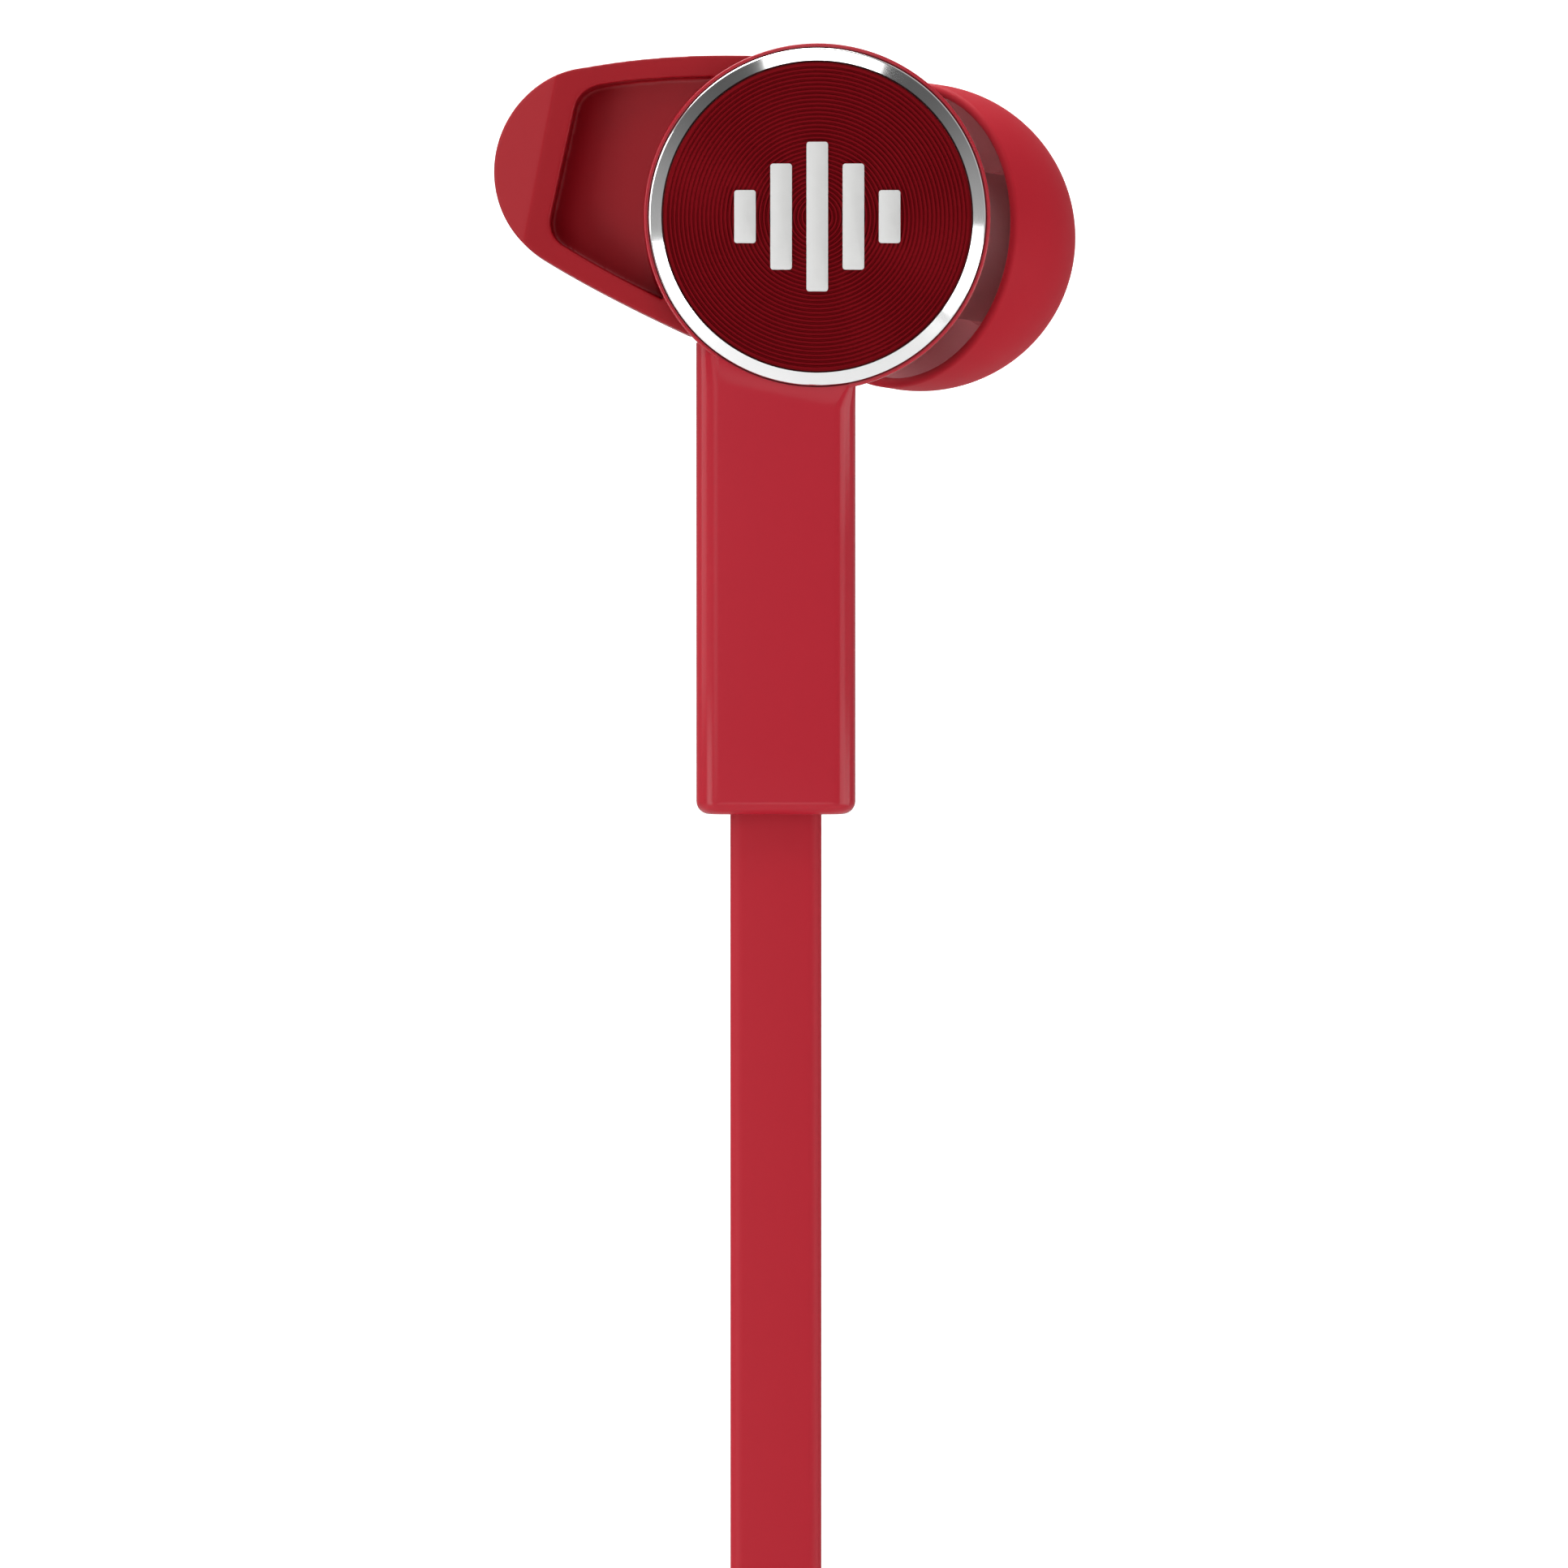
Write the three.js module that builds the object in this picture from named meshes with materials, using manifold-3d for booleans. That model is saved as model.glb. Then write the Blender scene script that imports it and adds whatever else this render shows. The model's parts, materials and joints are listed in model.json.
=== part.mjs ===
// A wired in-ear earphone: one earpiece with its stabiliser wing, its flat lead and the lead's jack plug.
// Millimetres, +Z up. The faceplate looks along -Y, the stem hangs along -Z, and the ear tip points back
// and to +X.
// Everything is laid out from the centre of the faceplate's front; the finished group is then moved so that
// the origin is the middle of the ear tip's widest section, which is where the ear canal holds it.
import * as THREE from "three";
import { mergeVertices } from "three/addons/utils/BufferGeometryUtils.js";
import Module from "manifold-3d";

const wasm = await Module();
wasm.setup();

// ---- driving dimensions ----
const BEZEL_RADIUS = 7.0; // outer radius of the polished ring round the faceplate
const FLANGE_RADIUS = 7.2; // widest part of the housing
const FACE_RADIUS = 6.42;
const STEM = { centreX: -1.72, width: 6.65, front: 0.4, back: 5.4, top: -5.2, bottom: -24.86, corner: 1.0 };
const CORD = { width: 3.83, thickness: 1.2, y: 2.9 };
const NOZZLE_TILT = THREE.MathUtils.degToRad(43); // from the housing's axis
const NOZZLE_DROP = THREE.MathUtils.degToRad(-6.4); // turns the tilt a little below level
const NOZZLE_ROOT_DEPTH = 6.2; // where the nozzle's axis crosses the housing's axis
const TIP_SEAT = 6.55; // distance along the nozzle to the ear tip's widest section
const TIP_RADIUS = 6.58;
const FIT_GAP = 0.05; // clearance between pieces that sit together

// ---- shapes and booleans ----
const LARGE = 44; // facets round a large turned piece
const SMALL = 20; // facets round a small turned piece

// Signed volume of an indexed geometry, used to turn faces outward.
function signedVolume(position, index) {
  const a = new THREE.Vector3();
  const b = new THREE.Vector3();
  const c = new THREE.Vector3();
  let sum = 0;
  for (let i = 0; i < index.count; i += 3) {
    a.fromBufferAttribute(position, index.getX(i));
    b.fromBufferAttribute(position, index.getX(i + 1));
    c.fromBufferAttribute(position, index.getX(i + 2));
    sum += a.dot(b.cross(c));
  }
  return sum / 6;
}

// A closed three.js geometry as a manifold-3d solid, faces outward.
function solid(geometry) {
  const bare = geometry.clone();
  bare.deleteAttribute("normal");
  bare.deleteAttribute("uv");
  const merged = mergeVertices(bare, 1e-4);
  const triVerts = new Uint32Array(merged.index.array);
  if (signedVolume(merged.attributes.position, merged.index) < 0) {
    for (let i = 0; i < triVerts.length; i += 3) {
      [triVerts[i + 1], triVerts[i + 2]] = [triVerts[i + 2], triVerts[i + 1]];
    }
  }
  const vertProperties = new Float32Array(merged.attributes.position.array);
  return new wasm.Manifold(new wasm.Mesh({ numProp: 3, vertProperties, triVerts }));
}

// A manifold-3d solid as a three.js geometry.
function geometryOf(body) {
  const { vertProperties, triVerts } = body.getMesh();
  const geometry = new THREE.BufferGeometry();
  geometry.setAttribute("position", new THREE.BufferAttribute(new Float32Array(vertProperties), 3));
  geometry.setIndex(new THREE.BufferAttribute(new Uint32Array(triVerts), 1));
  return geometry;
}

// A solid turned about the Y axis from [radius, y] points.
function turned(points, facets = LARGE) {
  const profile = points.map(([r, y]) => new THREE.Vector2(r, y));
  return solid(new THREE.LatheGeometry(profile, facets));
}

function disc(radius, near, far, facets = LARGE) {
  return turned([[0, near], [radius, near], [radius, far], [0, far]], facets);
}

function tube(inner, outer, near, far, facets = LARGE) {
  return turned([[inner, near], [outer, near], [outer, far], [inner, far], [inner, near]], facets);
}

function block(lowest, highest) {
  const low = new THREE.Vector3(...lowest);
  const high = new THREE.Vector3(...highest);
  const size = high.clone().sub(low);
  const middle = low.add(high).multiplyScalar(0.5);
  return solid(new THREE.BoxGeometry(size.x, size.y, size.z).translate(middle.x, middle.y, middle.z));
}

// A rounded rectangle in X and Y, drawn upward between two heights.
function roundedBar(centreX, centreY, width, depth, corner, bottom, top) {
  const w = width / 2;
  const d = depth / 2;
  const shape = new THREE.Shape();
  shape.moveTo(centreX - w + corner, centreY - d);
  shape.absarc(centreX + w - corner, centreY - d + corner, corner, -Math.PI / 2, 0);
  shape.absarc(centreX + w - corner, centreY + d - corner, corner, 0, Math.PI / 2);
  shape.absarc(centreX - w + corner, centreY + d - corner, corner, Math.PI / 2, Math.PI);
  shape.absarc(centreX - w + corner, centreY - d + corner, corner, Math.PI, Math.PI * 1.5);
  const options = { depth: top - bottom, bevelEnabled: false, curveSegments: 6 };
  return solid(new THREE.ExtrudeGeometry(shape, options).translate(0, 0, bottom));
}

// A shape drawn in X and Z, given depth along +Y between two depths.
function plate(shape, near, far, curveSegments = 12) {
  const flat = new THREE.ExtrudeGeometry(shape, { depth: far - near, bevelEnabled: false, curveSegments });
  return solid(flat.rotateX(Math.PI / 2).translate(0, far, 0));
}

// ---- materials ----
function material(color, roughness, metalness = 0) {
  return new THREE.MeshStandardMaterial({ color, roughness, metalness });
}

const LOOKS = {
  housing: material(0xb02c38, 0.32),
  silicone: material(0xa82a36, 0.55),
  tipSilicone: material(0xb42b38, 0.6),
  innerHousing: material(0x5f3a3c, 0.3),
  face: material(0x5c040c, 0.35, 0.7),
  chrome: material(0xd8d8d8, 0.08, 1),
  badge: material(0xb8b8b8, 0.35, 1),
  steel: material(0x9a9a9c, 0.35, 1),
  magnet: material(0x77777a, 0.3, 1),
  copper: material(0xb86a3a, 0.4, 1),
  film: material(0xd9c79a, 0.25),
  foam: material(0x2a2a2c, 0.95),
  board: material(0x1f5a36, 0.5),
  cord: material(0xb22c38, 0.5),
  insulator: material(0x161616, 0.4),
  gold: material(0xd2a650, 0.2, 1),
  tie: material(0x1c1c1e, 0.7),
};

function part(name, shape, look) {
  const mesh = new THREE.Mesh(geometryOf(shape), LOOKS[look]);
  mesh.name = name;
  return mesh;
}

// ---- faceplate, ring and badge ----
const FACE_FRONT = 0.15; // the faceplate sits this far behind the ring's front edge
const SEAT_FLOOR = 0.8; // the faceplate and the ring stand on a ledge of the housing at this depth
const BADGE_CLEAR = 4.2; // outside this radius the faceplate is bare

function faceplate() {
  const back = SEAT_FLOOR - FIT_GAP;
  const plain = turned([
    [0, FACE_FRONT], [BADGE_CLEAR, FACE_FRONT], [FACE_RADIUS, FACE_FRONT], [FACE_RADIUS, back], [0, back],
  ]);
  return part("faceplate", plain, "face");
}

function bezelRing() {
  const inner = FACE_RADIUS + FIT_GAP;
  const back = SEAT_FLOOR - FIT_GAP;
  const ring = turned([
    [inner, 0], [inner + 0.08, -0.02], [BEZEL_RADIUS - 0.12, 0.14], [BEZEL_RADIUS, 0.3],
    [BEZEL_RADIUS, back], [inner, back], [inner, 0],
  ]);
  return part("bezel_ring", ring, "chrome");
}

// Five upright bars of a plain level meter, set on the faceplate.
const BADGE = { heights: [2.2, 4.4, 6.2, 4.4, 2.2], width: 0.9, pitch: 1.5, proud: 0.13 };

function badgeBars() {
  return BADGE.heights.map((height, i) => {
    const x = (i - (BADGE.heights.length - 1) / 2) * BADGE.pitch;
    const near = FACE_FRONT - FIT_GAP / 2 - BADGE.proud;
    const bar = block(
      [x - BADGE.width / 2, near, -height / 2],
      [x + BADGE.width / 2, FACE_FRONT - FIT_GAP / 2, height / 2],
    );
    return part(`badge_bar_${i + 1}`, bar, "badge");
  });
}

// ---- housing ----
const RIM = { front: 0.35, shoulder: 0.5, bevel: 0.08 }; // the flange's edge behind the polished ring
const GROOVE = { radius: 6.75, near: 1.2, far: 4.3 }; // the wing's sleeve sits in it
const SHELL = { bore: 6.05, seam: 4.6, back: 5.4 };
const REAR_RIM = 7.0;
const TENON = { halfWidth: 2.1, near: 1.7, far: 4.1, top: -6.1 };

function frontShell() {
  const seat = BEZEL_RADIUS + FIT_GAP;
  const can = turned([
    [seat, RIM.front], [FLANGE_RADIUS - RIM.bevel, RIM.front], [FLANGE_RADIUS, RIM.shoulder],
    [FLANGE_RADIUS, GROOVE.near], [GROOVE.radius, GROOVE.near], [GROOVE.radius, SHELL.seam],
    [SHELL.bore, SHELL.seam], [SHELL.bore, SEAT_FLOOR], [seat, SEAT_FLOOR], [seat, RIM.front],
  ]);
  const room = 0.1;
  const stemOpening = block(
    [STEM.centreX - TENON.halfWidth - room, TENON.near - room, -8],
    [STEM.centreX + TENON.halfWidth + room, TENON.far + room, -5],
  );
  return part("front_shell", can.subtract(stemOpening), "housing");
}

// The nozzle's axis starts on the housing's axis and runs along this direction.
const nozzleDirection = new THREE.Vector3(
  Math.sin(NOZZLE_TILT) * Math.cos(NOZZLE_DROP),
  Math.cos(NOZZLE_TILT),
  Math.sin(NOZZLE_TILT) * Math.sin(NOZZLE_DROP),
);
const nozzleTurn = new THREE.Quaternion().setFromUnitVectors(new THREE.Vector3(0, 1, 0), nozzleDirection);
const nozzleRoot = new THREE.Vector3(0, NOZZLE_ROOT_DEPTH, 0);
const NOZZLE = { radius: 2.45, bore: 1.7, end: 10.4, lip: 0.08 };
const NECK = { rootRadius: 4.9, rootStart: -0.6, waistRadius: 3.3, waist: 2.4, end: 3.3 }; // nozzle's root
const FUNNEL = { radius: 2.9, start: -2.2, end: 0.9 }; // narrows from the driver to the bore
const CAVITY = { radius: 5.3, near: 2, far: 4.9 };
const SPIGOT = { near: 3.6, room: 0.1 }; // the rear cover's step inside the can
const VENT = { x: -4.2, z: 1.5, radius: 0.6 };

function alongNozzle(body) {
  const placed = new THREE.Matrix4().compose(nozzleRoot, nozzleTurn, new THREE.Vector3(1, 1, 1));
  return solid(geometryOf(body).applyMatrix4(placed));
}

function rearShell() {
  const lip = SHELL.seam + FIT_GAP;
  const cover = turned([
    [0, SPIGOT.near], [SHELL.bore - SPIGOT.room, SPIGOT.near], [SHELL.bore - SPIGOT.room, lip],
    [REAR_RIM, lip], [REAR_RIM, 4.95], [REAR_RIM - 0.45, SHELL.back], [0, SHELL.back],
  ]);
  const neck = alongNozzle(turned([
    [0, NECK.rootStart], [NECK.rootRadius, NECK.rootStart], [NECK.waistRadius, NECK.waist],
    [NOZZLE.radius, NECK.end], [NOZZLE.radius, NOZZLE.end - 0.5],
    [NOZZLE.radius + NOZZLE.lip, NOZZLE.end - 0.35], [NOZZLE.radius - 0.15, NOZZLE.end], [0, NOZZLE.end],
  ], 32));
  const cavity = disc(CAVITY.radius, CAVITY.near, CAVITY.far);
  const bore = alongNozzle(disc(NOZZLE.bore, -1.5, NOZZLE.end + 1, SMALL));
  const taper = turned([
    [0, FUNNEL.start], [FUNNEL.radius, FUNNEL.start], [NOZZLE.bore, FUNNEL.end], [0, FUNNEL.end],
  ], SMALL);
  const funnel = alongNozzle(taper).intersect(disc(REAR_RIM, 3, SHELL.back - 0.3));
  const ventHole = solid(geometryOf(disc(VENT.radius, 4, 6, SMALL)).translate(VENT.x, 0, VENT.z));
  const shell = cover.add(neck).subtract(cavity).subtract(bore).subtract(funnel).subtract(ventHole);
  return part("rear_shell", shell, "innerHousing");
}

function ventScreen() {
  const mesh = part("vent_screen", disc(VENT.radius - FIT_GAP, 5.0, 5.2, SMALL), "steel");
  mesh.position.set(VENT.x, 0, VENT.z);
  return mesh;
}

const FOAM = { near: 6.6, far: 7.8 };

// The screen and the damping foam stand in the nozzle's bore; y is the distance along the nozzle.
function nozzleFittings() {
  const group = new THREE.Group();
  group.position.copy(nozzleRoot);
  group.quaternion.copy(nozzleTurn);
  const radius = NOZZLE.bore - FIT_GAP;
  group.add(part("nozzle_screen", disc(radius, NOZZLE.end - 0.4, NOZZLE.end - 0.2, SMALL), "steel"));
  group.add(part("damping_foam", disc(radius, FOAM.near, FOAM.far, SMALL), "foam"));
  return group;
}

// ---- driver: a 10 mm moving-coil unit that fires into the nozzle ----
const DRIVER = { radius: 5.2, back: 1.5, front: 4.2, opening: 3.2, wall: 4.8 };
const YOKE = { outer: 3.1, inner: 2.7, back: 1.45, floor: 1.85, front: 3.2 };
const MAGNET = { radius: 2.1, top: 2.65 };
const POLE = { radius: 2.15, top: 3.15 };
const COIL = { inner: 2.32, outer: 2.5, back: 2.6, front: 3.66 }; // runs in the gap between pole and yoke

function driver() {
  const frame = turned([
    [DRIVER.opening, DRIVER.back], [DRIVER.radius, DRIVER.back], [DRIVER.radius, DRIVER.front],
    [DRIVER.wall, DRIVER.front], [DRIVER.wall, DRIVER.back + 0.5], [DRIVER.opening, DRIVER.back + 0.5],
    [DRIVER.opening, DRIVER.back],
  ]);
  const yoke = turned([
    [0, YOKE.back], [YOKE.outer, YOKE.back], [YOKE.outer, YOKE.front], [YOKE.inner, YOKE.front],
    [YOKE.inner, YOKE.floor], [0, YOKE.floor],
  ]);
  const cone = turned([
    [0, 4.02], [1.6, 3.92], [2.5, 3.66], [3.4, 3.86], [4.3, 3.72], [4.6, 3.72], [4.6, 3.82], [4.3, 3.82],
    [3.4, 3.96], [2.5, 3.76], [1.6, 4.02], [0, 4.12],
  ]);
  return [
    part("driver_frame", frame, "steel"),
    part("driver_yoke", yoke, "steel"),
    part("driver_magnet", disc(MAGNET.radius, YOKE.floor + FIT_GAP, MAGNET.top), "magnet"),
    part("driver_pole_plate", disc(POLE.radius, MAGNET.top + FIT_GAP, POLE.top), "steel"),
    part("voice_coil", tube(COIL.inner, COIL.outer, COIL.back, COIL.front - FIT_GAP), "copper"),
    part("diaphragm", cone, "film"),
    part("driver_gasket", tube(4.35, DRIVER.radius, DRIVER.front + FIT_GAP, 4.5), "foam"),
  ];
}

// ---- wiring inside the housing and the stem ----
const BOARD = { left: -3.4, right: 0.4, z: -3.8, halfHeight: 0.8, near: 1.03, far: 1.33 };
const ANCHOR = { halfWidth: 1.9, near: 2.1, far: 3.7, bottom: -17.6, top: -15.5 };
const WIRE_RADIUS = 0.2;

function terminalBoard() {
  const board = block(
    [BOARD.left, BOARD.near, BOARD.z - BOARD.halfHeight],
    [BOARD.right, BOARD.far, BOARD.z + BOARD.halfHeight],
  );
  return part("terminal_board", board, "board");
}

// The cord's end is crimped here, and its two cores go on up to the board.
function cordAnchor() {
  const crimp = block(
    [STEM.centreX - ANCHOR.halfWidth, ANCHOR.near, ANCHOR.bottom],
    [STEM.centreX + ANCHOR.halfWidth, ANCHOR.far, ANCHOR.top],
  );
  return part("cord_anchor", crimp, "insulator");
}

function coreWire(name, x, look) {
  const route = new THREE.CatmullRomCurve3([
    new THREE.Vector3(x, CORD.y, ANCHOR.top + 0.1),
    new THREE.Vector3(x, CORD.y, -11),
    new THREE.Vector3(x, CORD.y, -8),
    new THREE.Vector3(x, 2.8, -6.8),
    new THREE.Vector3(x, 2.45, -5.9),
    new THREE.Vector3(x, 1.9, -5.42),
    new THREE.Vector3(x, 1.3, -5.25),
    new THREE.Vector3(x, 1.15, BOARD.z - 0.9),
  ]);
  const section = new THREE.Shape().absarc(0, 0, WIRE_RADIUS, 0, Math.PI * 2);
  const wire = new THREE.ExtrudeGeometry(section, { steps: 24, curveSegments: 4, extrudePath: route });
  return part(name, solid(wire), look);
}

// ---- stem ----
const BUSH = { halfWidth: 2.5, near: 1.8, far: 4.0, top: -18 };
const WIREWAY = { halfWidth: 1.7, near: 2.05, far: 3.75 };
const CORD_SLOT = { halfWidth: 2.0, halfThickness: 0.68 };
const BELOW_STEM = -26; // cutting tools start under the stem
const STEM_ROOM = 0.06; // between the stem's top and the housing

function stem() {
  const middleY = (STEM.front + STEM.back) / 2;
  const bar = roundedBar(
    STEM.centreX, middleY, STEM.width, STEM.back - STEM.front, STEM.corner, STEM.bottom, STEM.top,
  );
  const tenon = block(
    [STEM.centreX - TENON.halfWidth, TENON.near, -8.2],
    [STEM.centreX + TENON.halfWidth, TENON.far, TENON.top],
  );
  const wireway = block(
    [STEM.centreX - WIREWAY.halfWidth, WIREWAY.near, BELOW_STEM],
    [STEM.centreX + WIREWAY.halfWidth, WIREWAY.far, -5],
  );
  const bushSeat = block(
    [STEM.centreX - BUSH.halfWidth - FIT_GAP, BUSH.near - FIT_GAP, BELOW_STEM],
    [STEM.centreX + BUSH.halfWidth + FIT_GAP, BUSH.far + FIT_GAP, BUSH.top + 3],
  );
  // The stem's top follows the housing: the flange, the groove that the wing leaves open, and the rear rim.
  const housing = disc(FLANGE_RADIUS + STEM_ROOM, -1, GROOVE.near + STEM_ROOM)
    .add(disc(GROOVE.radius + STEM_ROOM, 0, 8))
    .add(disc(REAR_RIM + STEM_ROOM, GROOVE.far + 0.2, 8));
  const body = bar.subtract(housing).add(tenon).subtract(wireway).subtract(bushSeat);
  return part("stem", body, "housing");
}

// A grommet that grips the flat cord where it leaves the stem.
function cordBush() {
  const x = STEM.centreX;
  const body = block(
    [x - BUSH.halfWidth, BUSH.near, STEM.bottom + 0.15],
    [x + BUSH.halfWidth, BUSH.far, BUSH.top],
  );
  const slot = block(
    [x - CORD_SLOT.halfWidth, CORD.y - CORD_SLOT.halfThickness, BELOW_STEM],
    [x + CORD_SLOT.halfWidth, CORD.y + CORD_SLOT.halfThickness, BUSH.top + 1],
  );
  return part("cord_bush", body.subtract(slot), "silicone");
}

// ---- ear wing: a sleeve round the housing that carries a hollowed fin ----
const WING = { near: 1.25, far: 4.9, roomBehind: 0.08, underFlange: 0.03 };
const SLEEVE_GAP = { from: -2.4, to: -0.95 }; // angles of the opening round the stem, from +X
const END_SLOPE = { x: -11.5, z: 2.4, fall: THREE.MathUtils.degToRad(-32), across: 0.194, up: 0.981 };
const POCKET = { outerX: -11, outerDepth: 3.9, fall: THREE.MathUtils.degToRad(-17.5) };
const WING_END = { x: -9.2, z: 1.97, radius: 4.3 };

function onWingEnd(degrees) {
  const angle = THREE.MathUtils.degToRad(degrees);
  return [WING_END.x + WING_END.radius * Math.cos(angle), WING_END.z + WING_END.radius * Math.sin(angle)];
}

function wingOutline() {
  const shape = new THREE.Shape();
  shape.moveTo(-2.6, 6.73);
  shape.quadraticCurveTo(-6.4, 6.84, ...onWingEnd(96));
  const [from, to] = [96, 239].map(THREE.MathUtils.degToRad);
  shape.absarc(WING_END.x, WING_END.z, WING_END.radius, from, to);
  shape.quadraticCurveTo(-9.0, -3.2, -5.3, -4.9);
  shape.lineTo(-3, -4);
  shape.lineTo(-2.6, 5);
  return shape;
}

function wingPocketOutline() {
  const shape = new THREE.Shape();
  shape.moveTo(-3.6, 5.86);
  shape.quadraticCurveTo(-7.2, 5.88, -9.1, 5.52);
  shape.quadraticCurveTo(-9.98, 5.3, -10.12, 4.5);
  shape.lineTo(-11.1, 0.1);
  shape.quadraticCurveTo(-11.25, -0.8, -10.5, -1.2);
  shape.quadraticCurveTo(-8.6, -2.4, -6.0, -3.6);
  shape.lineTo(-3, -3);
  return shape;
}

function earWing() {
  const fin = plate(wingOutline(), WING.near, WING.far, 16);
  const housing = disc(GROOVE.radius + FIT_GAP, 0, 6);
  const sleeveFar = GROOVE.far - FIT_GAP;
  const sleeveRadius = FLANGE_RADIUS - WING.underFlange;
  const rearFlange = disc(REAR_RIM + WING.roomBehind, sleeveFar, 6);
  const sleeve = tube(GROOVE.radius + FIT_GAP, sleeveRadius, GROOVE.near + FIT_GAP, sleeveFar);
  // The sleeve is open round the stem, with room to turn.
  const gap = new THREE.Shape();
  gap.moveTo(0, 0);
  gap.lineTo(9 * Math.cos(SLEEVE_GAP.from), 9 * Math.sin(SLEEVE_GAP.from));
  gap.lineTo(0, -14);
  gap.lineTo(9 * Math.cos(SLEEVE_GAP.to), 9 * Math.sin(SLEEVE_GAP.to));
  const sleeveGap = plate(gap, 0, 6);
  // The pocket's floor is deepest at its outer end and comes forward towards the housing.
  const floor = new THREE.BoxGeometry(30, 10, 24).translate(0, 5, 0);
  floor.rotateZ(POCKET.fall);
  floor.translate(POCKET.outerX, POCKET.outerDepth, 0);
  const pocket = plate(wingPocketOutline(), 0, WING.far, 8)
    .subtract(disc(sleeveRadius, 0, 6))
    .subtract(solid(floor));
  // The outer end of the fin slopes back from a slanting line.
  const slope = new THREE.BoxGeometry(16, 4, 24).translate(6, -2, 0);
  slope.rotateZ(END_SLOPE.fall);
  slope.rotateY(Math.PI - Math.atan2(END_SLOPE.across, END_SLOPE.up));
  slope.translate(END_SLOPE.x, WING.near, END_SLOPE.z);
  const keptSlope = solid(slope).subtract(block([-11.0, -5, -9], [8, 9, 12]));
  const body = fin.subtract(keptSlope).subtract(housing).subtract(rearFlange);
  return part("ear_wing", body.subtract(pocket).add(sleeve.subtract(sleeveGap)), "silicone");
}

// ---- ear tip: a soft dome on a core that pushes over the nozzle ----
const TIP = { bore: 2.6, core: 3.2, coreRoot: 3.7, skirtEnd: 5.3, noseLength: 6.77, wall: 0.42 };

// The radius at each distance along the nozzle follows an ellipse.
function domePoint(radius, length, angle) {
  return [radius * Math.cos(angle), TIP_SEAT + length * Math.sin(angle)];
}

function earTip() {
  const inner = TIP_RADIUS - TIP.wall;
  const innerLength = TIP.noseLength - TIP.wall;
  const points = [[TIP.bore, TIP.coreRoot], [TIP.core, TIP.coreRoot]];
  const steps = 10;
  const topInner = Math.acos(TIP.core / inner);
  for (let i = 0; i <= steps; i++) {
    points.push(domePoint(inner, innerLength, topInner * (1 - i / steps)));
  }
  points.push([inner - 0.05, TIP.skirtEnd]);
  points.push([TIP_RADIUS - 0.12, TIP.skirtEnd - 0.05]);
  const topOuter = Math.acos((TIP.bore + 0.3) / TIP_RADIUS);
  for (let i = 0; i <= steps; i++) {
    points.push(domePoint(TIP_RADIUS, TIP.noseLength, (topOuter * i) / steps));
  }
  points.push([TIP.bore, TIP_SEAT + TIP.noseLength * Math.sin(topOuter) - 0.15]);
  points.push([TIP.bore, TIP.coreRoot]);
  const mesh = part("ear_tip", turned(points), "tipSilicone");
  mesh.position.copy(nozzleRoot);
  mesh.quaternion.copy(nozzleTurn);
  return mesh;
}

// ---- the lead: straight down, then wound as a hank in the plane of Y and Z ----
const HANK = {
  straight: 42, // length of each straight run
  innerRadius: 11.5, // cord's middle in the innermost end loop
  pitch: 1.42, // from one turn to the next
  turns: 6.2,
  topCentre: -87.6, // height of the upper end loops' centre
};
const HANK_OUTER = HANK.innerRadius + HANK.pitch * HANK.turns;

// Hand-set stops of the hanging stretch: y then z of the cord's middle. It turns back on an arc that
// would run on into the hank's outermost loop.
const LEAD_ROUTE = [
  [2.9, -25.16], [2.9, -32], [2.9, -40], [2.9, -48], [2.9, -54], [2.9, -58.1], [3.1, -60.1], [3.6, -62.0],
  [4.5, -64.0], [6.0, -65.95],
];
// The last stretch leaves the innermost turn and comes down to the plug.
const TAIL_ROUTE = [
  [12.7, -92.53], [11.0, -94.15], [8.65, -95.28], [6.9, -96.05], [5.35, -97.2], [4.1, -98.75], [3.2, -100.9],
  [2.9, -102.65],
];

function flatCord(name, stops) {
  const route = new THREE.CatmullRomCurve3(stops.map(([y, z]) => new THREE.Vector3(STEM.centreX, y, z)));
  const thin = CORD.thickness / 2;
  const wide = CORD.width / 2;
  const corner = 0.25;
  // The section's first axis is along X or square to it, by the way the route starts. The cord's wide side
  // has to lie along X, so that it bends the flat way.
  const wideFirst = Math.abs(route.computeFrenetFrames(1).normals[0].x) > 0.5;
  const outline = [
    [thin, corner - wide], [thin, wide - corner], [thin - corner, wide], [corner - thin, wide],
    [-thin, wide - corner], [-thin, corner - wide], [corner - thin, -wide], [thin - corner, -wide],
  ];
  const section = new THREE.Shape(
    outline.map(([a, b]) => (wideFirst ? new THREE.Vector2(b, a) : new THREE.Vector2(a, b))),
  );
  const steps = 2 * stops.length;
  return part(name, solid(new THREE.ExtrudeGeometry(section, { steps, extrudePath: route })), "cord");
}

function stadium(radius, path) {
  path.absarc(0, HANK.topCentre, radius, 0, Math.PI);
  path.absarc(0, HANK.topCentre - HANK.straight, radius, Math.PI, Math.PI * 2);
  path.closePath();
  return path;
}

function leadHank() {
  const half = CORD.thickness / 2 + 0.1;
  const shape = stadium(HANK_OUTER + half, new THREE.Shape());
  shape.holes.push(stadium(HANK.innerRadius - half, new THREE.Path()));
  const options = { depth: CORD.width, bevelEnabled: false, curveSegments: 16 };
  const ring = new THREE.ExtrudeGeometry(shape, options);
  // Drawn in X and Y, turned to stand in the plane of Y and Z.
  ring.applyMatrix4(new THREE.Matrix4().makeBasis(
    new THREE.Vector3(0, 1, 0), new THREE.Vector3(0, 0, 1), new THREE.Vector3(1, 0, 0),
  ));
  ring.translate(STEM.centreX - CORD.width / 2, CORD.y, 0);
  return part("lead_hank", solid(ring), "cord");
}

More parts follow.
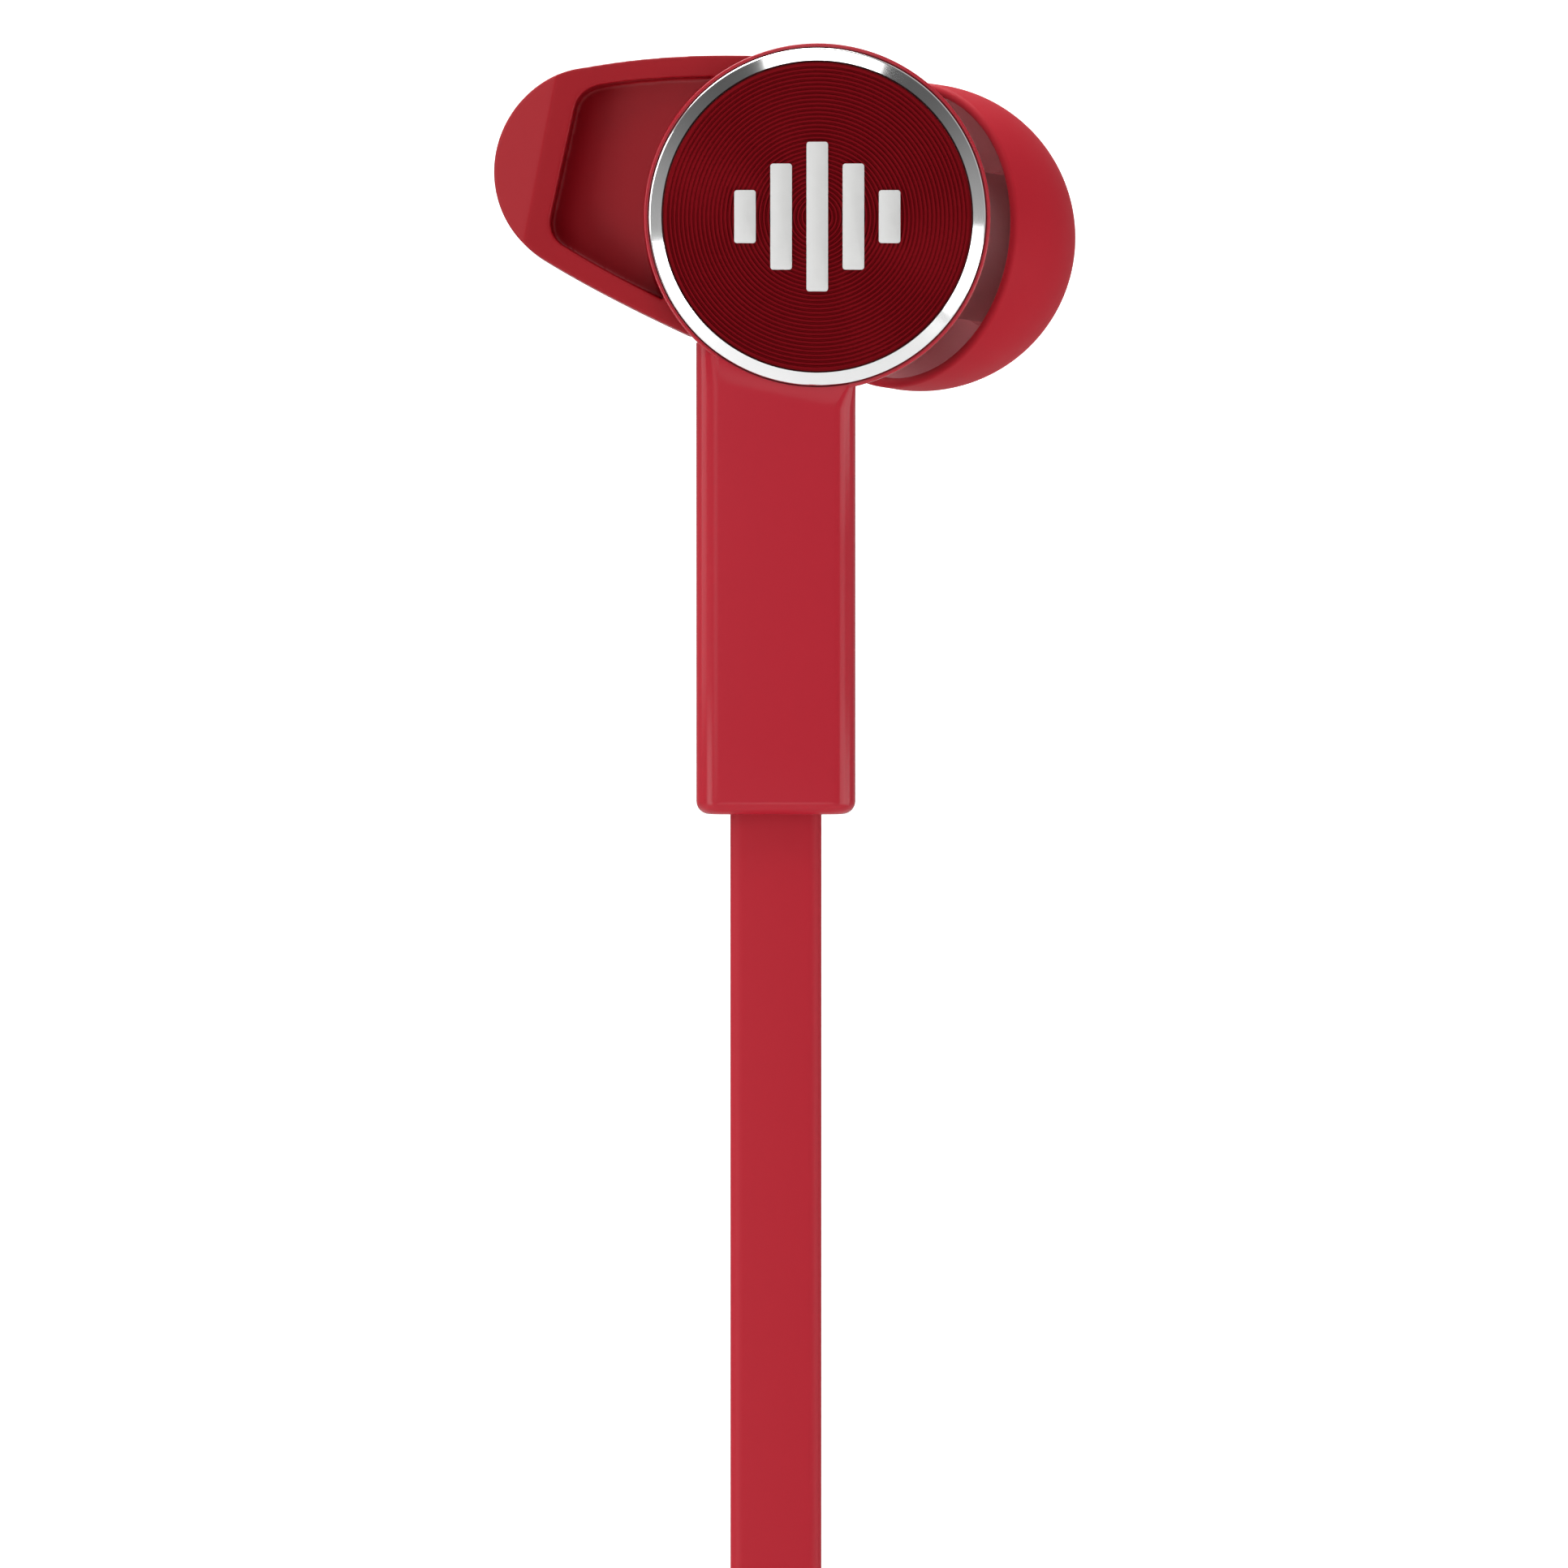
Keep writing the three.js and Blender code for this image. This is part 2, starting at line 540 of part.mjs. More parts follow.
// A stretched band that wraps the hank and the plug lying in it.
const TIE = { width: 6, wall: 0.6, cordRoom: 0.25, plugRoom: 0.4, hankRoom: 1.1 };

function hankTie() {
  const limb = CORD.width / 2 + TIE.cordRoom;
  const bulge = PLUG.radius + TIE.plugRoom;
  const reach = HANK_OUTER + TIE.hankRoom;
  // The band's section by how far it stands outside the pieces it wraps.
  const filled = (grow, height) => {
    const corners = [
      [limb + grow, reach + grow], [bulge + grow, PLUG.radius], [bulge + grow, -PLUG.radius],
      [limb + grow, -reach - grow], [-limb - grow, -reach - grow], [-bulge - grow, -PLUG.radius],
      [-bulge - grow, PLUG.radius], [-limb - grow, reach + grow],
    ];
    const shape = new THREE.Shape(corners.map(([x, y]) => new THREE.Vector2(STEM.centreX + x, CORD.y + y)));
    const column = new THREE.ExtrudeGeometry(shape, { depth: height, bevelEnabled: false });
    return solid(column.translate(0, 0, HANK.topCentre - HANK.straight / 2 - height / 2));
  };
  return part("hank_tie", filled(TIE.wall, TIE.width).subtract(filled(0, TIE.width + 2)), "tie");
}

// ---- 3.5 mm jack plug, hanging tip down inside the hank ----
const PLUG = { radius: 3.4, top: -102.7, boot: 6, shell: 13, pinRadius: 1.75 };

// [name, length, radius, look] from the plug's shoulder to its tip.
const PIN = [
  ["plug_sleeve", 6.6, PLUG.pinRadius, "gold"],
  ["plug_insulator_rear", 0.6, PLUG.pinRadius - 0.05, "insulator"],
  ["plug_ring", 2.2, PLUG.pinRadius, "gold"],
  ["plug_insulator_front", 0.6, PLUG.pinRadius - 0.05, "insulator"],
];
const PLUG_TIP_LENGTH = 4.1;

function plug() {
  const group = new THREE.Group();
  group.position.set(STEM.centreX, CORD.y, PLUG.top);
  group.rotation.x = -Math.PI / 2; // +Y of each turned piece points down the plug
  const boot = turned([[0, 0], [1.9, 0], [2.1, 0.3], [2.7, PLUG.boot], [0, PLUG.boot]], 28)
    .subtract(block([-CORD.width / 2 - 0.08, -1, -0.7], [CORD.width / 2 + 0.08, 4, 0.7]));
  const shellStart = PLUG.boot + FIT_GAP;
  const shellEnd = shellStart + PLUG.shell;
  // A shallow recess round the pin leaves a ring-shaped shoulder that meets the socket's rim.
  const recess = { radius: 2.1, depth: 0.3 };
  const shell = turned([
    [0, shellStart], [PLUG.radius - 0.4, shellStart], [PLUG.radius, shellStart + 0.5],
    [PLUG.radius, shellEnd - 0.5], [PLUG.radius - 0.4, shellEnd], [recess.radius, shellEnd],
    [recess.radius, shellEnd - recess.depth], [0, shellEnd - recess.depth],
  ], 32);
  group.add(part("plug_boot", boot, "silicone"));
  group.add(part("plug_shell", shell, "housing"));
  let start = shellEnd - recess.depth + FIT_GAP;
  for (const [name, length, radius, look] of PIN) {
    group.add(part(name, disc(radius, start, start + length - FIT_GAP, SMALL), look));
    start += length;
  }
  const tip = turned([
    [0, start], [1.6, start], [1.1, start + 0.9], [1.7, start + 2.0], [1.6, start + 2.5],
    [0.5, start + PLUG_TIP_LENGTH], [0, start + PLUG_TIP_LENGTH],
  ], SMALL);
  group.add(part("plug_tip", tip, "gold"));
  return group;
}

// ---- assembly ----
const earphone = new THREE.Group();
earphone.add(
  faceplate(), bezelRing(), ...badgeBars(), frontShell(), rearShell(), ventScreen(), nozzleFittings(),
  ...driver(), terminalBoard(), cordAnchor(), stem(), cordBush(), earWing(), earTip(),
);
earphone.add(coreWire("signal_wire", STEM.centreX - 0.45, "copper"));
earphone.add(coreWire("ground_wire", STEM.centreX + 0.45, "insulator"));
earphone.add(flatCord("lead", LEAD_ROUTE), leadHank(), flatCord("lead_tail", TAIL_ROUTE), hankTie(), plug());

const earSeat = nozzleRoot.clone().addScaledVector(nozzleDirection, TIP_SEAT);
earphone.position.copy(earSeat).negate();

export default earphone;
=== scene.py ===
"""The looks of one wired in-ear earphone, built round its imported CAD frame.

Lengths in this script are millimetres from the centre of the faceplate's front: x to the right, y back
into the earpiece, z up. spot() turns such a place into the frame's metres. Only the soft boxes and the
studio floor are sized in metres.
"""
import json
import math

import bmesh
import bpy
from mathutils import Matrix, Vector


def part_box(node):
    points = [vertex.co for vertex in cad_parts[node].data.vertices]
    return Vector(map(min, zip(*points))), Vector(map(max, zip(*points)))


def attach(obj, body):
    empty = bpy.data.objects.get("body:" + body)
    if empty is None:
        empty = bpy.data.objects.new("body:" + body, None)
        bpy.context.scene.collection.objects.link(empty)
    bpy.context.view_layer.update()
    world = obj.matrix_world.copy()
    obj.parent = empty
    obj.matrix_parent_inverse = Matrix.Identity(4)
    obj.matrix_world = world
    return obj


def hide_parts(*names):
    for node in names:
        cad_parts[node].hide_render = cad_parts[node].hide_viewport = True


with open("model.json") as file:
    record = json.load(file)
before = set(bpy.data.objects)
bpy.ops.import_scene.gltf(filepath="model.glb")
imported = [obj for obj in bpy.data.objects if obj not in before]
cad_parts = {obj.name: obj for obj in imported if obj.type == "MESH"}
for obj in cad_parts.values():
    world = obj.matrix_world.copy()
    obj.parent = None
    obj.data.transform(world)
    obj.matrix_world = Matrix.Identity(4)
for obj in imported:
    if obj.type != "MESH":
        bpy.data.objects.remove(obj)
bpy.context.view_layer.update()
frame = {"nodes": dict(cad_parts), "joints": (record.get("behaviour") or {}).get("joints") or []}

# ---------------------------------------------------------------- sizes taken from the frame
MM = 0.001


def node_size(node):
    """(lowest, highest) corner of a CAD node in millimetres of the frame."""
    low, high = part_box(node)
    return low / MM, high / MM


ring_low, ring_high = node_size("bezel_ring")
face_low, face_high = node_size("faceplate")
FACE_CENTRE = Vector(((face_low.x + face_high.x) / 2, ring_low.y, (face_low.z + face_high.z) / 2))
FACE_GROOVE_PITCH = 0.177
HOUSING_FACETS = 224
BEZEL_RADIUS = (ring_high.x - ring_low.x) / 2
FACE_RADIUS = (face_high.x - face_low.x) / 2
NOZZLE_AXIS = Vector(next(j["axis"] for j in frame["joints"] if j["name"] == "ear_tip_pull")).normalized()


def spot(x, y, z):
    """A place in metres of the frame."""
    return (FACE_CENTRE + Vector((x, y, z))) * MM


def local_box(node):
    low, high = node_size(node)
    return low - FACE_CENTRE, high - FACE_CENTRE


# The nozzle's axis leaves the housing's axis at this depth. The ear tip's widest section is the frame's
# origin.
NOZZLE_ROOT = Vector((0, 6.2, 0))
TIP_SEAT = (-FACE_CENTRE - NOZZLE_ROOT).dot(NOZZLE_AXIS)
screen_low, screen_high = local_box("nozzle_screen")
SCREEN_SEAT = ((screen_low + screen_high) / 2 - NOZZLE_ROOT).dot(NOZZLE_AXIS)
NOZZLE_END = SCREEN_SEAT + 0.3
NOZZLE_RADIUS = 2.45
NOZZLE_BORE = 1.7

# The wing's sleeve sits in a groove of the housing, between the front flange and the rear cover.
GROOVE_RADIUS = 6.75
GROOVE_NEAR = 1.2
SLEEVE_INNER = 6.8
SLEEVE_OUTER = 7.17
SLEEVE_FAR = 4.25
REAR_RIM = 7.0
REAR_FACE = 5.4

stem_low, stem_high = local_box("stem")
STEM_X = (stem_low.x + stem_high.x) / 2
STEM_WIDTH = stem_high.x - stem_low.x
lead_low, lead_high = local_box("lead")
CORD_WIDTH = lead_high.x - lead_low.x
CORD_THICKNESS = 1.2
CORD_SLOT = Vector((2.0, 0.68, 0))  # half the opening that grips the lead
plug_low, plug_high = local_box("plug_boot")
grip_low, grip_high = local_box("plug_shell")
CORD_Y = (plug_low.y + plug_high.y) / 2
PLUG_TOP = plug_high.z
PLUG_RADIUS = (grip_high.x - grip_low.x) / 2


# ---------------------------------------------------------------- colours and node helpers
def srgb(red, green, blue):
    """Screen colour 0-255 to the linear colour that a shader takes."""
    def channel(value):
        value /= 255
        return value / 12.92 if value <= 0.04045 else ((value + 0.055) / 1.055) ** 2.4
    return (channel(red), channel(green), channel(blue), 1.0)


class Nodes:
    """A material's node tree with short ways to add and join nodes."""

    def __init__(self, name):
        self.material = bpy.data.materials.new(name)
        self.material.use_nodes = True
        self.tree = self.material.node_tree
        self.shader = self.tree.nodes["Principled BSDF"]

    def add(self, kind, inputs=None, **settings):
        node = self.tree.nodes.new(kind)
        for key, value in settings.items():
            setattr(node, key, value)
        for key, value in (inputs or {}).items():
            if isinstance(value, bpy.types.NodeSocket):
                self.tree.links.new(value, node.inputs[key])
            else:
                node.inputs[key].default_value = value
        return node

    def set(self, **values):
        for key, value in values.items():
            self.shader.inputs[key.replace("_", " ")].default_value = value

    def link(self, socket, key):
        self.tree.links.new(socket, self.shader.inputs[key])

    def place(self):
        return self.add("ShaderNodeTexCoord").outputs["Object"]

    def noise(self, scale, detail=3.0, stretch=(1, 1, 1)):
        mapped = self.add("ShaderNodeMapping", {"Vector": self.place(), "Scale": stretch})
        noise = self.add(
            "ShaderNodeTexNoise", {"Vector": mapped.outputs[0], "Scale": scale, "Detail": detail}
        )
        return noise.outputs["Fac"]

    def spread_from(self, value, start, end, low, high):
        ends = {"From Min": start, "From Max": end, "To Min": low, "To Max": high}
        return self.add("ShaderNodeMapRange", {"Value": value, **ends}).outputs["Result"]

    def spread(self, fac, low, high):
        """Turns noise, which lies mostly between 0.2 and 0.8, into the range from low to high."""
        return self.spread_from(fac, 0.2, 0.8, low, high)

    def mix(self, fac, first, second):
        mixed = self.add("ShaderNodeMix", {"Factor": fac, 6: first, 7: second}, data_type="RGBA")
        return mixed.outputs[2]

    def rings(self, centre, pitch):
        """Rings about the Y axis through a place: 0 midway between two grooves, 1 in a groove."""
        offset = self.add("ShaderNodeVectorMath", {0: self.place(), 1: centre}, operation="SUBTRACT")
        flat = self.add("ShaderNodeVectorMath", {0: offset.outputs[0], 1: (1, 0, 1)}, operation="MULTIPLY")
        radius = self.add("ShaderNodeVectorMath", {0: flat.outputs[0]}, operation="LENGTH")
        per_metre = 2 * math.pi / pitch
        turn = self.add("ShaderNodeMath", {0: radius.outputs["Value"], 1: per_metre}, operation="MULTIPLY")
        wave = self.add("ShaderNodeMath", {0: turn.outputs[0]}, operation="COSINE")
        return self.spread_from(wave.outputs[0], -1, 1, 0, 1)

    def bump(self, height, strength, distance):
        bump = self.add("ShaderNodeBump", {"Height": height, "Strength": strength, "Distance": distance})
        self.link(bump.outputs["Normal"], "Normal")


def moulded(name, colour, roughness, mottle=0.04, grain=900.0, grain_depth=0.004, **values):
    """A moulded polymer: faint colour drift, a fine grain and patches that are handled smoother."""
    look = Nodes(name)
    drift = look.noise(90.0)
    darker = tuple(c * (1 - mottle) for c in colour[:3]) + (1,)
    lighter = tuple(min(1, c * (1 + mottle)) for c in colour[:3]) + (1,)
    look.link(look.mix(drift, darker, lighter), "Base Color")
    rubbed = look.noise(260.0, 4.0)
    look.link(look.spread(rubbed, roughness * 0.95, roughness * 1.05), "Roughness")
    look.bump(look.noise(grain * 10, 2.0), 0.25, grain_depth * MM)
    look.set(**values)
    return look.material


# ---------------------------------------------------------------- materials
def make_materials():
    looks = {}
    looks["housing"] = moulded("red_housing", srgb(160, 21, 37), 0.22, Specular_IOR_Level=0.4)
    looks["stem"] = moulded("red_stem", srgb(162, 31, 44), 0.2, Specular_IOR_Level=0.2)
    looks["wing"] = moulded("red_wing_silicone", srgb(142, 8, 22), 0.42, Specular_IOR_Level=0.2)
    looks["tip"] = moulded("red_tip_silicone", srgb(165, 30, 42), 0.55, Specular_IOR_Level=0.07)
    # Painted light: the tip's inside and its core are the same red silicone as its outside; their paler,
    # greyer colours are painted reflection of the bright surroundings and painted fill light in the hollow.
    looks["tip_inside"] = moulded("tip_inside_painted_sheen", srgb(218, 146, 151), 0.5)
    looks["tip_core"] = moulded("tip_core_painted_sheen", srgb(175, 128, 131), 0.5)
    looks["cord"] = cord_jacket()
    # Painted reflection: the rear shell is glossy dark red; its base is painted grey-brown for the grey
    # surroundings that it mirrors.
    looks["inner"] = moulded("rear_shell_painted_reflection", srgb(118, 66, 70), 0.25)
    looks["face"] = anodised_face()
    looks["chrome"] = polished_chrome()
    looks["badge"] = brushed("satin_silver", srgb(205, 205, 204), 0.38, (1, 30, 1), 0.25)
    looks["steel"] = brushed("plated_steel", srgb(170, 170, 172), 0.35, (1, 1, 12))
    looks["magnet"] = brushed("nickel_magnet", srgb(150, 150, 152), 0.22, (3, 3, 3))
    looks["copper"] = brushed("enamelled_copper", srgb(200, 120, 74), 0.3, (1, 1, 30))
    looks["gold"] = brushed("gold_plate", srgb(226, 184, 104), 0.16, (8, 8, 1))
    looks["film"] = moulded("clear_film", srgb(222, 208, 168), 0.22)
    looks["foam"] = moulded("black_foam", srgb(44, 44, 46), 0.95, 0.3, 300.0, 0.08)
    looks["board"] = moulded("green_board", srgb(32, 92, 56), 0.42)
    looks["black"] = moulded("black_moulding", srgb(30, 30, 31), 0.45)
    looks["tie"] = moulded("black_silicone", srgb(36, 36, 38), 0.6)
    return looks


def brushed(name, colour, roughness, stretch, metallic=1.0):
    """Metal with a fine directional grain."""
    look = Nodes(name)
    grain = look.noise(2200.0, 3.0, stretch)
    darker = tuple(c * 0.93 for c in colour[:3]) + (1,)
    look.link(look.mix(grain, darker, colour), "Base Color")
    look.link(look.spread(grain, roughness * 0.85, roughness * 1.15), "Roughness")
    look.bump(grain, 0.2, 0.002 * MM)
    look.set(Metallic=metallic)
    return look.material


def polished_chrome():
    look = Nodes("polished_chrome")
    haze = look.noise(700.0, 4.0)
    look.link(look.mix(haze, srgb(232, 232, 232), srgb(240, 240, 240)), "Base Color")
    look.link(look.spread(haze, 0.09, 0.12), "Roughness")
    look.bump(look.noise(1500.0), 0.01, 0.0004 * MM)
    look.set(Metallic=1.0)
    return look.material


def anodised_face():
    """Dark red anodised metal. Its turning grooves are real geometry; the colour is also painted darker in
    each groove as painted shade, and the cutter leaves finer marks."""
    look = Nodes("anodised_red")
    turns = look.rings(spot(0, 0, 0), FACE_GROOVE_PITCH * MM)
    # Painted shade: the base colour is darker in each groove than between grooves.
    groove_painted_shade = look.mix(turns, srgb(118, 3, 16), srgb(98, 0, 5))
    drift = look.spread_from(look.noise(160.0), 0, 1, 0, 0.4)
    look.link(look.mix(drift, groove_painted_shade, srgb(108, 2, 11)), "Base Color")
    look.link(look.spread(look.noise(2600.0), 0.34, 0.42), "Roughness")
    look.bump(look.noise(5200.0), 0.15, 0.002 * MM)
    look.set(Metallic=0.9)
    return look.material


def cord_jacket():
    """The flat lead's jacket: satin rubber with faint draw lines along it."""
    look = Nodes("red_cord_jacket")
    colour = srgb(164, 29, 42)
    drift = look.noise(70.0)
    darker = tuple(c * 0.96 for c in colour[:3]) + (1,)
    look.link(look.mix(drift, darker, colour), "Base Color")
    draw_lines = look.noise(2400.0, 2.0, (1, 0.02, 0.02))
    look.link(look.spread(draw_lines, 0.42, 0.5), "Roughness")
    look.bump(draw_lines, 0.12, 0.006 * MM)
    look.set(Specular_IOR_Level=0.15)
    return look.material


LOOKS = make_materials()

# The record's material slot that each look belongs to.
LOOKS["boot"] = LOOKS["wing"]
LOOKS["mesh"] = LOOKS["steel"]


# ---------------------------------------------------------------- mesh helpers
def keep(name, mesh, look, body, *stands_for):
    """Makes a piece of a mesh that is already in the frame's metres."""
    piece = bpy.data.objects.new(name, mesh)
    bpy.context.scene.collection.objects.link(piece)
    mesh.materials.clear()
    mesh.materials.append(LOOKS[look])
    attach(piece, body)
    if stands_for:
        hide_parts(*stands_for)
    return piece


def smooth(mesh, degrees=35):
    mesh.shade_smooth()
    mesh.set_sharp_from_angle(angle=math.radians(degrees))
    return mesh


def turned_mesh(name, profile, facets=192, matrix=None):
    """A closed solid turned about Y from (radius, y) pairs, in local millimetres."""
    bm = bmesh.new()
    rings = []
    for radius, y in profile:
        if radius < 1e-6:
            rings.append([bm.verts.new((0, y, 0))])
            continue
        ring = []
        for i in range(facets):
            a = 2 * math.pi * i / facets
            ring.append(bm.verts.new((radius * math.cos(a), y, radius * math.sin(a))))
        rings.append(ring)
    closed = len(rings[0]) > 1
    pairs = list(zip(rings, rings[1:]))
    if closed:
        pairs.append((rings[-1], rings[0]))
    for near, far in pairs:
        join_rings(bm, near, far, facets)
    bmesh.ops.recalc_face_normals(bm, faces=bm.faces)
    return finish_mesh(bm, name, matrix)


def rod_mesh(name, radius, near, far, facets=192, matrix=None):
    """A solid rod along Y between two depths."""
    return turned_mesh(name, [(0, near), (radius, near), (radius, far), (0, far)], facets, matrix)


def join_rings(bm, near, far, facets):
    for i in range(facets):
        k = (i + 1) % facets
        if len(near) == 1 and len(far) == 1:
            return
        if len(near) == 1:
            bm.faces.new((near[0], far[i], far[k]))
        elif len(far) == 1:
            bm.faces.new((near[i], near[k], far[0]))
        else:
            bm.faces.new((near[i], near[k], far[k], far[i]))


def finish_mesh(bm, name, matrix=None):
    """Moves a mesh from local millimetres into the frame and smooths its shading."""
    if matrix is not None:
        bm.transform(matrix)
    bm.transform(Matrix.Scale(MM, 4) @ Matrix.Translation(FACE_CENTRE))
    if bm.calc_volume(signed=True) < 0:
        bmesh.ops.reverse_faces(bm, faces=bm.faces)
    mesh = bpy.data.meshes.new(name)
    bm.to_mesh(mesh)
    bm.free()
    return smooth(mesh)


def skin(bm, rings):
    """Joins rings of as many points each into a closed body with flat ends."""
    count = len(rings[0])
    for near, far in zip(rings, rings[1:]):
        for i in range(count):
            k = (i + 1) % count
            bm.faces.new((near[i], near[k], far[k], far[i]))
    bm.faces.new(rings[0])
    bm.faces.new(list(reversed(rings[-1])))
    bmesh.ops.recalc_face_normals(bm, faces=bm.faces)


def arc(x, y, radius, start, end, steps=6):
    """Points of an arc, angles in degrees from the first axis towards the second."""
    points = []
    for i in range(steps + 1):
        a = math.radians(start + (end - start) * i / steps)
        points.append((x + radius * math.cos(a), y + radius * math.sin(a)))
    return points


# Each corner of a rectangle: its side along both axes, and the angle at which its round starts.
CORNERS = ((1, 1, 0), (-1, 1, 90), (-1, -1, 180), (1, -1, 270))


def rounded_box(x, y, width, depth, corner, steps, last_corner=None):
    """A rectangle with rounded corners. The last one, at +x and -y, may have a radius of its own."""
    points = []
    for side_x, side_y, start in CORNERS:
        radius = last_corner if last_corner and start == 270 else corner
        middle_x = x + side_x * (width / 2 - radius)
        middle_y = y + side_y * (depth / 2 - radius)
        points += arc(middle_x, middle_y, radius, start, start + 90, steps)
    return points


def prism_mesh(name, outline, near, far, matrix=None):
    """A plate drawn in x and z, from y = near to y = far.

    For a slanting back, far is a function of x.
    """
    depth = far if callable(far) else lambda x: far
    bm = bmesh.new()
    front = [bm.verts.new((x, near, z)) for x, z in outline]
    back = [bm.verts.new((x, depth(x), z)) for x, z in outline]
    skin(bm, [front, back])
    return finish_mesh(bm, name, matrix)


def quadratic(start, control, end, steps=14):
    """Points of a curve with one control point."""
    points = []
    for i in range(steps + 1):
        t = i / steps
        points.append(tuple(
            (1 - t) ** 2 * a + 2 * t * (1 - t) * b + t * t * c for a, b, c in zip(start, control, end)
        ))
    return points


def scratch_object(mesh):
    made = bpy.data.objects.new(mesh.name, mesh)
    bpy.context.scene.collection.objects.link(made)
    return made


def carve(base, tools):
    """Applies (operation, mesh) pairs to a mesh and gives the result."""
    body = scratch_object(base)
    cutters = []
    for operation, mesh in tools:
        cutter = scratch_object(mesh)
        cutters.append(cutter)
        cut = body.modifiers.new("cut", "BOOLEAN")
        cut.operation = operation
        cut.object = cutter
        cut.solver = "EXACT"
    result = applied(body, base.name + "_carved")
    for cutter in cutters:
        bpy.data.objects.remove(cutter)
    return result


def applied(body, name):
    """The mesh of an object with its modifiers applied; the object is removed."""
    graph = bpy.context.evaluated_depsgraph_get()
    mesh = bpy.data.meshes.new_from_object(body.evaluated_get(graph))
    mesh.name = name
    bpy.data.objects.remove(body)
    return mesh


def moulded_mesh(mesh, voxel, passes):
    """Rebuilds a carved solid as one even skin with softly rounded edges, as a mould leaves them."""
    body = scratch_object(mesh)
    remesh = body.modifiers.new("remesh", "REMESH")
    remesh.mode = "VOXEL"
    remesh.voxel_size = voxel * MM
    soften = body.modifiers.new("soften", "SMOOTH")
    soften.factor = 0.5
    soften.iterations = passes
    result = applied(body, mesh.name + "_moulded")
    result.shade_smooth()
    return result


# ---------------------------------------------------------------- camera, lights and stage
PHOTO_WIDTH = 65.2  # width of the picture at the faceplate
PHOTO_CENTRE = Vector((-1.38, 0.0, -23.55))
CAMERA_DISTANCE = 330.0
CAMERA_RISE = 2.0  # degrees that the camera looks down
SENSOR = 36.0


def make_camera():
    data = bpy.data.cameras.new("camera")
    data.sensor_width = SENSOR
    data.lens = SENSOR * CAMERA_DISTANCE / PHOTO_WIDTH
    data.clip_start = 0.01
    data.clip_end = 20
    camera = bpy.data.objects.new("camera", data)
    bpy.context.scene.collection.objects.link(camera)
    rise = math.radians(CAMERA_RISE)
    back = Vector((0, -math.cos(rise), math.sin(rise)))
    target = spot(*PHOTO_CENTRE)
    camera.location = target + back * CAMERA_DISTANCE * MM
    camera.rotation_mode = "QUATERNION"
    camera.rotation_quaternion = (-back).to_track_quat("-Z", "Y")
    bpy.context.scene.camera = camera


def soft_box(name, toward, distance, width, height, brightness):
    """A soft light in a direction from the faceplate. Its brightness is 1 where white paper would be."""
    data = bpy.data.lights.new(name, "AREA")
    data.shape = "RECTANGLE"
    data.size = width
    data.size_y = height
    data.energy = brightness * math.pi * width * height
    lamp = bpy.data.objects.new(name, data)
    bpy.context.scene.collection.objects.link(lamp)
    toward = Vector(toward).normalized()
    lamp.location = spot(0, 0, 0) + toward * distance
    lamp.rotation_mode = "QUATERNION"
    lamp.rotation_quaternion = (-toward).to_track_quat("-Z", "Y")


def on_ring(degrees):
    """The direction that the polished ring mirrors towards the camera at an angle round the faceplate."""
    tilt = math.radians(52)
    a = math.radians(degrees)
    return (math.sin(tilt) * math.cos(a), -math.cos(tilt), math.sin(tilt) * math.sin(a))


def light_scene():
    """Soft boxes round the earpiece, in surroundings that are darkest in front and above."""
    soft_box("top_box", on_ring(87.5), 0.7, 0.41, 0.34, 3.2)
    soft_box("right_box", on_ring(-17), 0.7, 0.34, 0.30, 3.0)
    soft_box("left_box", on_ring(-155), 0.7, 0.34, 0.34, 4.5)
    soft_box("left_side_box", (-1.0, -0.15, 0.25), 0.8, 0.5, 0.5, 2.6)
    soft_box("right_side_box", (1.0, -0.2, -0.45), 0.8, 0.5, 0.5, 3.3)
    soft_box("ceiling_box", (-0.3, 0.35, 1.0), 0.8, 0.8, 0.6, 7.0)
    soft_box("front_left_box", (-0.32, -0.95, 0.1), 0.8, 0.24, 0.5, 1.5)
    soft_box("upper_strip", (0.0, -1.0, 0.36), 0.8, 0.2, 0.4, 1.7)
    soft_box("lower_strip", (0.0, -1.0, -0.55), 0.8, 0.2, 0.36, 3.0)
    make_world()
    bpy.context.scene.view_settings.view_transform = "Standard"
    bpy.context.scene.view_settings.look = "None"


def make_world():
    """Plain surroundings. The camera sees them as white; what they light and reflect is greyer."""
    world = bpy.data.worlds.new("studio")
    world.use_nodes = True
    bpy.context.scene.world = world
    tree = world.node_tree

    def add(kind, **settings):
        node = tree.nodes.new(kind)
        for key, value in settings.items():
            setattr(node, key, value)
        return node

    def ramp(socket, start, end, low, high):
        node = add("ShaderNodeMapRange", interpolation_type="SMOOTHSTEP")
        tree.links.new(socket, node.inputs["Value"])
        for key, value in (("From Min", start), ("From Max", end), ("To Min", low), ("To Max", high)):
            node.inputs[key].default_value = value
        return node.outputs["Result"]

    def blend(fac, first, second):
        node = add("ShaderNodeMix")
        for key, value in ((0, fac), (2, first), (3, second)):
            if isinstance(value, bpy.types.NodeSocket):
                tree.links.new(value, node.inputs[key])
            else:
                node.inputs[key].default_value = value
        return node.outputs[0]

    split = add("ShaderNodeSeparateXYZ")
    tree.links.new(add("ShaderNodeTexCoord").outputs["Generated"], split.inputs[0])
    _, y, z = split.outputs
    front = blend(ramp(z, -0.05, 0.7, 0, 1), 0.42, 0.11)
    strength = blend(ramp(y, -0.5, 0.1, 0, 1), front, 0.55)
    seen = blend(add("ShaderNodeLightPath").outputs["Is Camera Ray"], strength, 1.0)
    background = tree.nodes["Background"]
    background.inputs["Color"].default_value = (1, 1, 1, 1)
    tree.links.new(seen, background.inputs["Strength"])


